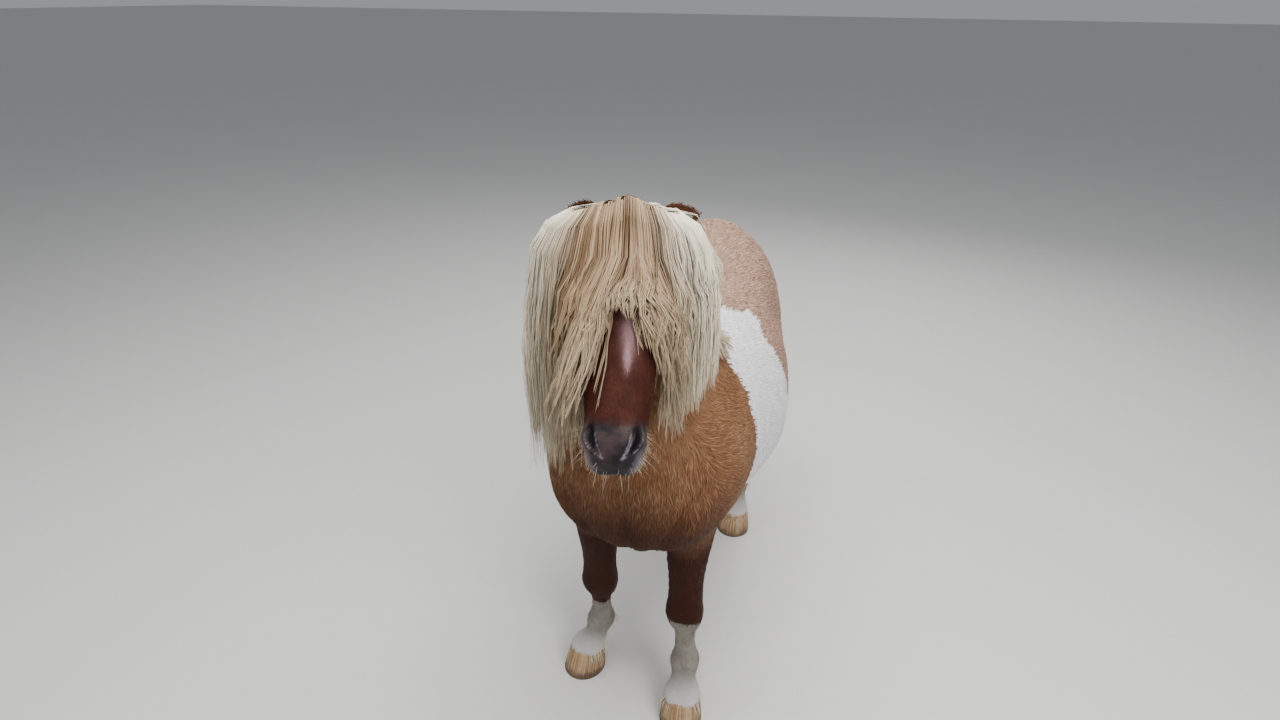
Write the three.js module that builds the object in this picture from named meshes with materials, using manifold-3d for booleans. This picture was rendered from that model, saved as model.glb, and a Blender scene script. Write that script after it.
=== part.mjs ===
// A Shetland pony standing square with its head raised, life size, as a still museum model.
// Millimetres, +Z up, the pony faces -Y and its left side is +X. The hooves stand on z = 0.
// The flesh is lofted through side-view outline stations, joined whole, and parted with thin cuts.
import * as THREE from "three";
import { mergeVertices } from "three/addons/utils/BufferGeometryUtils.js";
import Module from "manifold-3d";

const wasm = await Module();
wasm.setup();

// Driving dimensions
const gap = 0.3; // clear space kept between neighbouring solids
const withersHeight = 1000;
const headLength = 400; // poll to lips
const poll = [14, -495, 1245]; // top of the head, between the ears
const headPitch = THREE.MathUtils.degToRad(45); // the face slopes down this far from level
const headYaw = THREE.MathUtils.degToRad(12); // and is turned to the pony's left
const hoofHeight = 62;
const standX = { left: 113, right: 130, hind: 106 }; // how far each foot stands from the middle
const rightForeBack = 80; // the right fore foot stands further back
const rightHindBack = 30;
const toeOut = { left: THREE.MathUtils.degToRad(4), right: THREE.MathUtils.degToRad(24) };
const kneeCut = 252;
const hockCut = 342;
const eye = { radius: 18, x: 70, y: -128, z: -44, lid: 3.6, opening: [15, 17, 10.5] };
const hair = { thick: 8, sink: 14, draw: 41 }; // draw seeds the random numbers
const ear = {
  length: 92,
  x: 42,
  y: 14,
  z: -18,
  way: [0.78, 0.6, -0.04], // aside, back and up: the ears lie out and back under the hair
  wall: 3.2,
  rows: [
    [0, 14, 13],
    [0.15, 19, 15],
    [0.32, 25, 16],
    [0.52, 25, 13],
    [0.74, 18, 9],
    [0.9, 10, 6],
    [1, 2, 2],
  ], // share of the length, half width, half depth
};
const nostril = { at: [35, -347, -21], half: [6.5, 25, 9], turn: 0.32 };
const mouth = { z: -79, thick: 2.4, corner: -318, length: 90, core: [38, 64, 12] };

// Materials
const finish = (color, roughness) => new THREE.MeshStandardMaterial({ color, roughness, metalness: 0 });
const chestnut = finish(0x9a5f34, 0.8);
const darkChestnut = finish(0x6e3a22, 0.8);
const white = finish(0xe9e4dc, 0.85);
const flaxen = finish(0xd8c9a3, 0.75);
const horn = finish(0xc2a06a, 0.55);
const eyeBrown = finish(0x20130c, 0.1);

const vec = (x, y, z) => new THREE.Vector3(x, y, z);

// Catmull-Rom value at position p along rows of numbers
function along(rows, p) {
  const i = Math.min(Math.floor(p), rows.length - 2);
  const f = p - i;
  const row = (k) => rows[Math.max(0, Math.min(rows.length - 1, k))];
  return rows[0].map((_, c) => {
    const [a, b, d, e] = [row(i - 1)[c], row(i)[c], row(i + 1)[c], row(i + 2)[c]];
    const bend = (2 * a - 5 * b + 4 * d - e) * f * f + (3 * b - a - 3 * d + e) * f ** 3;
    return 0.5 * (2 * b + (d - a) * f + bend);
  });
}

// A closed skin over rings of points, each end closed to a point in its middle
function skin(rings, ends) {
  const sides = rings[0].length;
  const points = [...rings.flat(), ...ends];
  const index = [];
  const at = (r, k) => r * sides + (k % sides);
  const [first, last] = [points.length - 2, points.length - 1];
  for (let r = 0; r < rings.length - 1; r++)
    for (let k = 0; k < sides; k++)
      index.push(at(r, k), at(r, k + 1), at(r + 1, k), at(r, k + 1), at(r + 1, k + 1), at(r + 1, k));
  for (let k = 0; k < sides; k++) {
    index.push(first, at(0, k + 1), at(0, k));
    index.push(last, at(rings.length - 1, k), at(rings.length - 1, k + 1));
  }
  const made = new THREE.BufferGeometry().setFromPoints(points);
  made.setIndex(index);
  return made;
}

// A closed form through stations. Each station is a line across the side view from an upper (or front) outline
// point to a lower (or back) one: [y, z, y, z, half width, x, widest, roundness above, below].
// widest is the share of the line at which the section is widest. Bumps lift or sink the skin round a point.
function loft(stations, { sides = 24, steps = 2, grow = 0, bumps = [], mirror = 1 } = {}) {
  const count = (stations.length - 1) * steps;
  const rings = [];
  for (let r = 0; r <= count; r++) {
    const [ty, tz, by, bz, half, x, widest, above, below] = along(stations, r / steps);
    const middle = vec(x, ty + (by - ty) * widest, tz + (bz - tz) * widest);
    const length = Math.hypot(ty - by, tz - bz);
    const up = vec(0, (ty - by) / length, (tz - bz) / length);
    const ring = [];
    for (let k = 0; k < sides; k++) {
      const angle = (2 * Math.PI * (k + 0.5)) / sides;
      const [c, s] = [Math.cos(angle), Math.sin(angle)];
      const power = 2 / (s > 0 ? above : below);
      const reach = (s > 0 ? length * widest : length * (1 - widest)) + grow;
      const away = up.clone().multiplyScalar(Math.sign(s) * Math.abs(s) ** power * reach);
      away.x = Math.sign(c) * Math.abs(c) ** power * (half + grow);
      const p = middle.clone().add(away);
      let lift = 0;
      for (const b of bumps)
        for (const side of b.at[0] === 0 ? [0] : [1, -1])
          lift += b.rise * Math.exp(-2 * (p.distanceTo(vec(b.at[0] * side, b.at[1], b.at[2])) / b.reach) ** 2);
      p.addScaledVector(away.normalize(), lift);
      ring.push(vec(p.x * mirror, p.y, p.z));
    }
    rings.push(ring);
  }
  const ends = [0, count].map((r) => {
    const [ty, tz, by, bz, , x] = along(stations, r / steps);
    const outward = (r === 0 ? -1 : 1) * grow;
    const next = along(stations, (r === 0 ? 0.01 : count - 0.01) / steps);
    const way = vec(0, ty + by - next[0] - next[2], tz + bz - next[1] - next[3]).normalize();
    return vec(x * mirror, (ty + by) / 2, (tz + bz) / 2).addScaledVector(way, Math.abs(outward));
  });
  return skin(rings, ends);
}

// A closed form over elliptical rings, each { at, side, out }: the middle and the two half axes, to a tip if given
function sweep(rings, sides, grow = 0, tip = null) {
  const start = sides === 3 ? Math.PI / 2 : 0;
  const longer = (v) => v.clone().setLength(v.length() + grow);
  const made = rings.map((ring) => {
    const [side, out] = [longer(ring.side), longer(ring.out)];
    return Array.from({ length: sides }, (_, k) => {
      const angle = start + (2 * Math.PI * k) / sides;
      return ring.at.clone().addScaledVector(side, Math.cos(angle)).addScaledVector(out, Math.sin(angle));
    });
  });
  const end = (a, b) => a.clone().addScaledVector(a.clone().sub(b).normalize(), grow);
  const middles = [...rings.map((ring) => ring.at), ...(tip ? [tip] : [])];
  const last = middles.length - 1;
  return skin(made, [end(middles[0], middles[1]), end(middles[last], middles[last - 1])]);
}

// A closed geometry as a solid, facing out
function solid(geometry) {
  const bare = new THREE.BufferGeometry().setAttribute("position", geometry.getAttribute("position"));
  if (geometry.index) bare.setIndex(geometry.index);
  const merged = mergeVertices(bare, 1e-4);
  const build = (flip) => {
    const triVerts = new Uint32Array(merged.index.array);
    if (flip)
      for (let i = 0; i < triVerts.length; i += 3) [triVerts[i], triVerts[i + 1]] = [triVerts[i + 1], triVerts[i]];
    const vertProperties = merged.attributes.position.array;
    return new wasm.Manifold(new wasm.Mesh({ numProp: 3, vertProperties, triVerts }));
  };
  const made = build(false);
  return made.volume() < 0 ? build(true) : made;
}

const union = (list) => list.reduce((a, b) => a.add(b));

// Only the largest closed surface is kept: it fills sealed hollows and drops loose scraps
const largest = (shape) => shape.decompose().sort((a, b) => b.volume() - a.volume())[0];

function geometryOf(shape) {
  const m = shape.getMesh();
  const points = new Float32Array(m.numVert * 3);
  for (let i = 0; i < m.numVert; i++) {
    const from = i * m.numProp;
    points.set(m.vertProperties.subarray(from, from + 3), i * 3);
  }
  const geometry = new THREE.BufferGeometry();
  geometry.setAttribute("position", new THREE.BufferAttribute(points, 3));
  geometry.setIndex(new THREE.BufferAttribute(m.triVerts, 1));
  geometry.computeVertexNormals();
  return geometry;
}

function mesh(name, shape, material) {
  const made = new THREE.Mesh(geometryOf(largest(shape)), material);
  made.name = name;
  return made;
}

// Splits a solid at a plane through a point, leaving the gap between: [the side the normal points to, the other]
function part(shape, at, normal) {
  const n = normal.clone().normalize();
  const offset = n.dot(at);
  return [
    shape.trimByPlane(n.toArray(), offset + gap / 2),
    shape.trimByPlane(n.clone().negate().toArray(), -offset + gap / 2),
  ];
}

// Body tables are in thousandths of the withers height, head tables in 400ths of the head's length
const unit = withersHeight / 1000;
const headUnit = headLength / 400;
const sized = (rows, size) => rows.map((row) => row.map((v, i) => (i < 6 ? v * size : v)));
const bumpSized = (list, size) =>
  list.map((b) => ({ at: b.at.map((v) => v * size), reach: b.reach * size, rise: b.rise * size }));

// Torso: breast to buttock, with a deep round barrel
const torsoStations = sized(
  [
    [-496, 718, -494, 634, 46, 0, 0.5, 2, 2],
    [-483, 790, -480, 576, 110, 0, 0.52, 2, 2.1],
    [-452, 862, -448, 530, 162, 0, 0.54, 2, 2.2],
    [-395, 925, -388, 495, 196, 0, 0.54, 1.9, 2.3],
    [-315, 970, -308, 474, 213, 0, 0.56, 1.8, 2.2],
    [-215, 998, -212, 454, 228, 0, 0.58, 1.75, 2.1],
    [-100, 984, -100, 428, 247, 0, 0.61, 1.85, 2.1],
    [40, 972, 40, 410, 262, 0, 0.64, 1.9, 2.15],
    [150, 992, 150, 426, 255, 0, 0.63, 1.85, 2.15],
    [250, 1026, 248, 480, 226, 0, 0.57, 1.7, 2.1],
    [335, 1036, 332, 556, 198, 0, 0.52, 1.65, 2.1],
    [412, 1004, 408, 620, 170, 0, 0.5, 1.8, 2],
    [472, 934, 468, 682, 130, 0, 0.48, 2, 2],
    [506, 860, 504, 736, 72, 0, 0.5, 2, 2],
  ],
  unit,
);
const torsoBumps = bumpSized(
  [
    { at: [205, -340, 700], reach: 105, rise: 8 }, // shoulder
    { at: [120, -482, 655], reach: 60, rise: 12 }, // point of shoulder
    { at: [0, -502, 665], reach: 42, rise: -12 }, // furrow between the breast muscles
    { at: [155, -275, 565], reach: 70, rise: 9 }, // triceps
    { at: [228, -180, 620], reach: 60, rise: -6 }, // hollow behind the elbow
    { at: [225, 225, 820], reach: 85, rise: -20 }, // flank
    { at: [150, 250, 950], reach: 60, rise: 8 }, // point of hip
    { at: [0, 60, 962], reach: 70, rise: -4 }, // back
    { at: [0, 360, 1030], reach: 50, rise: -6 }, // split of the croup
    { at: [125, 470, 790], reach: 80, rise: 10 }, // buttock
  ],
  unit,
);

// Neck: thick and upright, its crest rising from the withers to the poll
const neckStations = sized(
  [
    [-60, 900, -400, 560, 120, 0, 0.5, 2, 2],
    [-140, 972, -455, 660, 138, 0, 0.5, 1.9, 2],
    [-205, 1004, -492, 745, 134, 1, 0.52, 1.9, 2],
    [-270, 1046, -500, 830, 118, 3, 0.54, 1.9, 2],
    [-335, 1103, -490, 910, 104, 6, 0.56, 1.9, 2],
    [-400, 1168, -468, 985, 93, 9, 0.58, 1.9, 2],
    [-455, 1222, -440, 1052, 82, 11, 0.58, 1.9, 2],
    [-482, 1236, -428, 1085, 70, 12, 0.56, 1.9, 2],
  ],
  unit,
);
const neckBumps = bumpSized([{ at: [0, -507, 800], reach: 45, rise: -6 }], unit); // furrow of the throat

// Legs, front outline then back outline, from inside the trunk down to the coronet
const foreleg = [
  [-452, 690, -240, 690, 70, 97, 0.5, 2, 2],
  [-436, 620, -245, 615, 68, 104, 0.5, 2, 2],
  [-415, 560, -250, 552, 61, 107, 0.5, 2, 2],
  [-399, 505, -262, 500, 53, 108, 0.48, 2, 2],
  [-389, 445, -284, 445, 46, 108, 0.45, 2, 2],
  [-381, 385, -299, 385, 41, 109, 0.45, 2, 2],
  [-379, 335, -303, 335, 41, 110, 0.45, 2.3, 2],
  [-383, 297, -302, 297, 45, 111, 0.45, 2.6, 2.2],
  [-376, 264, -304, 262, 39, 112, 0.45, 2.5, 2],
  [-366, 235, -308, 232, 27, 114, 0.45, 2.1, 1.9],
  [-363, 188, -307, 186, 25, 116, 0.42, 2, 1.8],
  [-368, 156, -301, 156, 31, 118, 0.42, 2, 1.9],
  [-376, 134, -298, 136, 37, 119, 0.42, 2, 2],
  [-384, 112, -312, 114, 31, 120, 0.44, 2, 2],
  [-396, 94, -324, 94, 31, 121, 0.45, 2, 2],
  [-416, 77, -330, 76, 41, 122, 0.46, 2.1, 2.1],
  [-428, hoofHeight + gap, -332, hoofHeight + gap, 47, 122, 0.46, 2.2, 2.2],
];
const hindleg = [
  [195, 850, 470, 850, 78, 94, 0.5, 2, 2],
  [168, 765, 497, 760, 88, 103, 0.5, 2, 2],
  [152, 685, 500, 680, 89, 109, 0.5, 2, 2],
  [152, 612, 478, 612, 81, 111, 0.48, 2, 2],
  [168, 552, 450, 556, 70, 112, 0.46, 2, 2],
  [204, 498, 440, 505, 58, 111, 0.45, 2, 2],
  [256, 450, 450, 462, 47, 110, 0.45, 2, 1.9],
  [308, 412, 478, 424, 40, 109, 0.42, 2.1, 1.7],
  [344, 382, 480, 392, 41, 108, 0.42, 2.3, 1.8],
  [368, 345, 462, 350, 40, 107, 0.45, 2.3, 2],
  [382, 308, 448, 312, 32, 106, 0.45, 2.1, 1.9],
  [388, 268, 444, 270, 27, 106, 0.45, 2, 1.8],
  [388, 200, 446, 202, 25, 106, 0.43, 2, 1.8],
  [381, 160, 453, 162, 30, 106, 0.43, 2, 1.9],
  [374, 138, 458, 140, 35, 106, 0.43, 2, 2],
  [366, 114, 444, 117, 31, 106, 0.44, 2, 2],
  [353, 94, 430, 96, 31, 106, 0.45, 2, 2],
  [333, 77, 421, 77, 40, 106, 0.46, 2.1, 2.1],
  [320, hoofHeight + gap, 417, hoofHeight + gap, 45, 106, 0.46, 2.2, 2.2],
];
// Each hoof below its coronet, drawn round the foot: [front, back, half width] at heights from the top down
const hoofRings = [
  [-46, 40, 42, hoofHeight],
  [-55, 42, 46, 36],
  [-65, 42, 50, 10],
  [-68, 41, 51, 0],
];

// Head, drawn facing -Y with the forehead up, its origin at the poll
const headStations = sized(
  [
    [30, -22, -6, -112, 36, 0, 0.45, 2, 2],
    [8, -2, -26, -142, 58, 0, 0.4, 2.1, 2],
    [-30, 10, -62, -172, 74, 0, 0.36, 2.3, 2.1],
    [-70, 16, -98, -188, 84, 0, 0.34, 2.5, 2.3],
    [-110, 15, -134, -188, 87, 0, 0.34, 2.6, 2.4],
    [-147, 8, -166, -174, 82, 0, 0.37, 2.5, 2.4],
    [-186, 0, -198, -152, 72, 0, 0.4, 2.3, 2.3],
    [-226, -6, -232, -132, 63, 0, 0.43, 2.2, 2.2],
    [-266, -9, -268, -116, 57, 0, 0.46, 2.2, 2.2],
    [-304, -10, -302, -107, 52, 0, 0.46, 2.2, 2.2],
    [-338, -13, -332, -105, 48, 0, 0.44, 2.3, 2.3],
    [-366, -21, -356, -106, 45, 0, 0.44, 2.4, 2.3],
    [-387, -35, -377, -101, 40, 0, 0.46, 2.4, 2.2],
    [-399, -55, -391, -88, 28, 0, 0.5, 2.2, 2],
  ],
  headUnit,
);
const headBumps = bumpSized(
  [
    { at: [78, -112, -18], reach: 26, rise: 6 }, // brow
    { at: [60, -118, -112], reach: 60, rise: 6 }, // cheek
    { at: [68, -186, -58], reach: 26, rise: 4 }, // facial crest
    { at: [42, -352, -36], reach: 30, rise: 8 }, // nostril flare
    { at: [0, -352, -112], reach: 24, rise: 7 }, // chin
    { at: [56, -238, -68], reach: 34, rise: -4 }, // hollow of the cheek
  ],
  headUnit,
);
const headPlace = new THREE.Matrix4().compose(
  vec(...poll),
  new THREE.Quaternion().setFromEuler(new THREE.Euler(headPitch, 0, headYaw, "ZYX")),
  vec(1, 1, 1),
);
const headAhead = vec(Math.sin(headYaw), -Math.cos(headYaw), 0);
const headAside = vec(Math.cos(headYaw), Math.sin(headYaw), 0);
const onHead = (geometry) => solid(geometry.applyMatrix4(headPlace));

// Moves the foot end of a leg in x and y, more the lower the station lies, and turns the pastern out with the toe
const fetlock = 134;
function stance(stations, x, back, toe) {
  const [top, foot] = [stations[2][1], stations[stations.length - 1]];
  const pastern = stations.filter((s) => s[1] <= fetlock);
  return stations.map((s) => {
    const share = Math.min(1, Math.max(0, (top - s[1]) / (top - foot[1])));
    const ahead = s[1] <= fetlock ? pastern[0][0] - s[0] : 0;
    const moved = [...s];
    moved[0] += back * share;
    moved[2] += back * share;
    moved[5] += (x - foot[5]) * share + ahead * Math.tan(toe);
    return moved;
  });
}
const fore = { rows: foreleg, cut: kneeCut };
const hind = { rows: hindleg, cut: hockCut, x: standX.hind, toe: toeOut.left };
const legs = [
  { name: "foreleg_left", ...fore, x: standX.left, back: 0, mirror: 1, toe: toeOut.left },
  { name: "foreleg_right", ...fore, x: standX.right, back: rightForeBack, mirror: -1, toe: toeOut.right },
  { name: "hindleg_left", ...hind, back: 0, mirror: 1 },
  { name: "hindleg_right", ...hind, back: rightHindBack, mirror: -1 },
].map((leg) => ({ ...leg, rows: sized(stance(leg.rows, leg.x, leg.back, leg.toe), unit) }));
// Where a leg leaves the trunk
const topCut = { foreleg: { z: 525, lean: 0.5 }, hindleg: { z: 605, lean: 0.45 } };

// Plane across the neck's root, from in front of the withers to the breast
const neckCut = { at: vec(0, -300, 900), normal: vec(0, -0.62, 0.78).normalize() };

const legSolid = (leg, grow) => solid(loft(leg.rows, { sides: 14, steps: 1, mirror: leg.mirror, grow }));
const topPlane = (leg) => {
  const { z, lean } = topCut[leg.name.split("_")[0]];
  return [vec(115 * leg.mirror, 0, z * unit), vec(-lean * leg.mirror, 0, 1)];
};
function trunk(grow) {
  return union([
    solid(loft(torsoStations, { sides: 28, steps: 2, bumps: torsoBumps, grow })),
    solid(loft(neckStations, { sides: 22, steps: 2, bumps: neckBumps, grow })),
    ...legs.map((leg) => part(legSolid(leg, grow), ...topPlane(leg))[0]),
  ]);
}
const [neckFlesh, torsoFlesh] = part(trunk(0), neckCut.at, neckCut.normal);
// The torso with the clear space round it, up to the neck's face
const neckFace = neckCut.at.clone().addScaledVector(neckCut.normal, gap);
const torsoGrown = part(trunk(gap), neckFace, neckCut.normal)[1];

const bothSides = [1, -1];
function ballAt(x, y, z, sx, sy, sz) {
  return new THREE.SphereGeometry(1, 12, 8).scale(sx, sy, sz).translate(x, y, z);
}
const eyeball = (side, radius) => onHead(ballAt(side * eye.x, eye.y, eye.z, radius, radius, radius));

// Each ear is a curved cup lying outward and back, open to the front
function earSolid(side, grow) {
  const [aside, back, rise] = ear.way;
  const up = vec(0, Math.sin(headPitch), Math.cos(headPitch));
  const behind = vec(0, Math.cos(headPitch), -Math.sin(headPitch));
  const way = vec(side * aside, 0, 0).addScaledVector(behind, back).addScaledVector(up, rise).normalize();
  const facing = vec(side * 0.25, 0, 0).addScaledVector(behind, -1).addScaledVector(up, 0.2);
  facing.addScaledVector(way, -facing.dot(way)).normalize();
  const across = way.clone().cross(facing);
  const ring = ([t, half, depth], thinner, forward) => ({
    at: vec(side * ear.x, ear.y, ear.z)
      .addScaledVector(way, t * ear.length)
      .addScaledVector(facing, forward * depth),
    side: across.clone().multiplyScalar(Math.max(half - thinner, 0.8)),
    out: facing.clone().multiplyScalar(Math.max(depth - thinner, 0.8)),
  });
  const outer = onHead(sweep(ear.rows.map((row) => ring(row, 0, 0)), 10, grow));
  if (grow > 0) return outer;
  const cup = ear.rows.slice(2).map((row) => ring(row, ear.wall, 0.55));
  return outer.subtract(onHead(sweep(cup, 8)));
}

// Head: sockets with lids, nostrils and the line of the mouth
function headFlesh(grow) {
  const skull = onHead(loft(headStations, { sides: 24, steps: 2, bumps: headBumps, grow }));
  if (grow > 0) return skull;
  const lids = bothSides.map((s) => eyeball(s, eye.radius + eye.lid));
  const openings = bothSides.map((s) =>
    onHead(ballAt(s * (eye.x + eye.radius), eye.y, eye.z, ...eye.opening)),
  );
  const nostrils = bothSides.map((s) => {
    const hole = new THREE.SphereGeometry(1, 9, 6).scale(...nostril.half).rotateZ(-s * nostril.turn);
    return onHead(hole.translate(s * nostril.at[0], nostril.at[1], nostril.at[2]));
  });
  const slab = new THREE.BoxGeometry(140, mouth.length + 40, mouth.thick);
  slab.translate(0, mouth.corner - mouth.length / 2 - 20, mouth.z);
  const between = onHead(ballAt(0, mouth.corner - 10, mouth.z, ...mouth.core));
  const line = onHead(slab).subtract(between);
  const sockets = bothSides.map((s) => eyeball(s, eye.radius + gap));
  return union([skull, ...lids]).subtract(union([...sockets, ...openings, ...nostrils, line]));
}

// Hair. Each lock is a flat tapered blade with a ridge down its outer face
const share = { at: [0, 0.1, 0.23, 0.41, 0.62, 0.83], width: [0.3, 0.62, 0.9, 1, 0.86, 0.5] };
function blade(path, aside, { width, twist, grow }) {
  const curve = new THREE.CatmullRomCurve3(path, false, "centripetal");
  const rings = share.at.map((u, i) => {
    const heading = curve.getTangentAt(u);
    const across = aside.clone().addScaledVector(heading, -aside.dot(heading)).normalize();
    across.applyAxisAngle(heading, twist * u);
    return {
      at: curve.getPointAt(u),
      side: across.clone().multiplyScalar((width * share.width[i]) / Math.sqrt(3)),
      out: heading.clone().cross(across).multiplyScalar(hair.thick * (0.4 + 0.27 * share.width[i])),
    };
  });
  return solid(sweep(rings, 3, grow, path[path.length - 1]));
}

// How far out, from a point on an axis inside, the skins lie in a direction
const caster = new THREE.Raycaster();
const far = 1600;
function reach(skins, from, way) {
  caster.set(from.clone().addScaledVector(way, far), way.clone().negate());
  const hit = caster.intersectObjects(skins, false)[0];
  return hit ? far - hit.distance : 0;
}

// A lock that arches out from its root in a level direction and falls over the skins: out is where it turns down,
// flare how far it then spreads, lift its height over the skins, drift how far its tip swings sideways and wave how
// much it bends on the way
const arch = { turns: [22, 52, 88], fall: 42 };
const hang = [0.2, 0.42, 0.66, 0.84, 1];
function fall(root, way, { skins, drop, lift, rise, drift, wave, out, flare, width, twist, grow }) {
  const aside = vec(0, 0, 1).cross(way);
  const path = [root.clone().add(vec(0, 0, -hair.sink))];
  const over = (z) => reach(skins, vec(root.x, root.y, Math.min(z, root.z - 6)), way) + lift;
  const put = (r, z, bend) =>
    path.push(vec(root.x, root.y, z).addScaledVector(way, r).addScaledVector(aside, bend));
  let r = 0;
  for (const turn of arch.turns) {
    const angle = THREE.MathUtils.degToRad(turn);
    const z = root.z - arch.fall + (arch.fall + rise) * Math.cos(angle);
    r = Math.max(r + 4, out * Math.sin(angle), z < root.z ? over(z) : 0);
    put(r, z, 0);
  }
  for (const f of hang) {
    const z = root.z - arch.fall - (drop - arch.fall) * f;
    r = Math.max(r, out + flare * Math.sin(f * 2.4), over(z));
    put(r, z, drift * f + wave * Math.sin(f * 5.2 + drift));
  }
  return blade(path, aside, { width, twist, grow });
}

function draws(seed) {
  let state = seed;
  return (low, high) => {
    state = (state * 1664525 + 1013904223) % 4294967296;
    return low + ((high - low) * state) / 4294967296;
  };
}

const skinMesh = (shape) => {
  const made = new THREE.Mesh(geometryOf(shape), new THREE.MeshBasicMaterial({ side: THREE.DoubleSide }));
  made.updateMatrixWorld(true);
  return made;
};
const ears = bothSides.map((s) => earSolid(s, 0));
const trunkSkin = skinMesh(trunk(0));
const headSkins = [skinMesh(headFlesh(0)), ...ears.map(skinMesh), trunkSkin];

// Forelock: a dome of locks from the poll, parted over the face and long beside the cheeks.
// Rows give the turn from straight ahead in degrees and the drop of the tips there.
const forelock = {
  layers: [
    { count: 12, lift: 8, rise: 38, shorter: 0, root: [46, 34] },
    { count: 10, lift: 21, rise: 60, shorter: 16, root: [34, 12] }, // root: reach of its ring aside and ahead
  ],
  from: -104,
  to: 86,
  drops: [
    [-104, 455],
    [-75, 400],
    [-48, 285],
    [-14, 232],
    [4, 140],
    [18, 216],
    [40, 268],
    [62, 300],
    [86, 318],
  ],
  wide: { right: 100, left: 78 }, // the dome's reach to each side, over the ears
  crowd: 0.05, // how much closer together the locks stand at the sides
  clear: 36, // and to the front
  flare: 20,
  width: 32,
};
function dropAt(rows, turn) {
  const i = Math.max(1, rows.findIndex((row) => row[0] >= turn));
  const [[a, low], [b, high]] = [rows[i - 1], rows[i]];
  return low + ((high - low) * (turn - a)) / (b - a);
}
function headHair(grow) {
  const draw = draws(hair.draw);
  const locks = [];
  for (const layer of forelock.layers) {
    for (let i = 0; i < layer.count; i++) {
      const f = (i + 0.5) / layer.count;
      const spread = f - forelock.crowd * Math.sin(2 * Math.PI * f);
      const turn = forelock.from + (forelock.to - forelock.from) * spread + draw(-2.5, 2.5);
      const angle = THREE.MathUtils.degToRad(turn);
      const way = vec(0, 0, 0)
        .addScaledVector(headAhead, Math.cos(angle))
        .addScaledVector(headAside, Math.sin(angle));
      const [besides, before] = layer.root;
      const inward = vec(0, 0, 0)
        .addScaledVector(headAhead, before * Math.cos(angle))
        .addScaledVector(headAside, besides * Math.sin(angle));
      const root = vec(poll[0], poll[1], 0).add(inward);
      root.setZ(reach([headSkins[0]], root, vec(0, 0, 1)));
      const lift = layer.lift + draw(-1.5, 1.5);
      const side = turn < 0 ? forelock.wide.right : forelock.wide.left;
      const out = forelock.clear + side * Math.abs(Math.sin(angle)) ** 1.2 + lift - inward.length();
      locks.push(
        fall(root, way, {
          skins: headSkins,
          drop: (dropAt(forelock.drops, turn) - layer.shorter) * draw(0.94, 1.05),
          lift,
          rise: poll[2] + layer.rise * (1 - 0.3 * Math.sin(angle) ** 2) - root.z,
          drift: draw(-8, 8),
          wave: draw(1, 4),
          out,
          flare: forelock.flare * Math.sin(angle) ** 2,
          width: forelock.width * (1 + 0.25 * Math.sin(angle) ** 2) * draw(0.88, 1.12),
          twist: draw(-0.3, 0.3),
          grow,
        }),
      );
    }
  }
  return union(locks);
}

// Mane: locks from the crest, falling to both sides from the withers to the poll
const mane = {
  from: 2.15, // stations of the neck, from the withers
  to: 6.75, // to just behind the poll
  layers: [
    { count: 6, lift: 9, rise: 12 },
    { count: 6, lift: 21, rise: 24 },
  ],
  drop: { right: [190, 440], left: [110, 250] },
  width: 42,
};
function neckHair() {
  const draw = draws(hair.draw + 1);
  const locks = [];
  for (const side of bothSides)
    mane.layers.forEach((layer, l) => {
      for (let i = 0; i < layer.count; i++) {
        const f = (i + 0.5 + 0.4 * l) / (layer.count + 0.4);
        const [y, z, , , , x] = along(neckStations, mane.from + (mane.to - mane.from) * f);
        const [short, long] = mane.drop[side > 0 ? "left" : "right"];
        const lift = layer.lift + draw(-1.5, 1.5);
        locks.push(
          fall(vec(x + side * 5, y, z - 2), vec(side, 0, 0), {
            skins: [trunkSkin],
            drop: (short + (long - short) * f ** 0.8) * draw(0.92, 1.06),
            lift,
            rise: layer.rise,
            drift: side * draw(6, 20),
            wave: draw(1, 4),
            out: 24 + lift,
            flare: 0,
            width: mane.width * draw(0.85, 1.15),
            twist: draw(-0.3, 0.3),
            grow: 0,
          }),
        );
      }
    });
  return union(locks);
}

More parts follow.
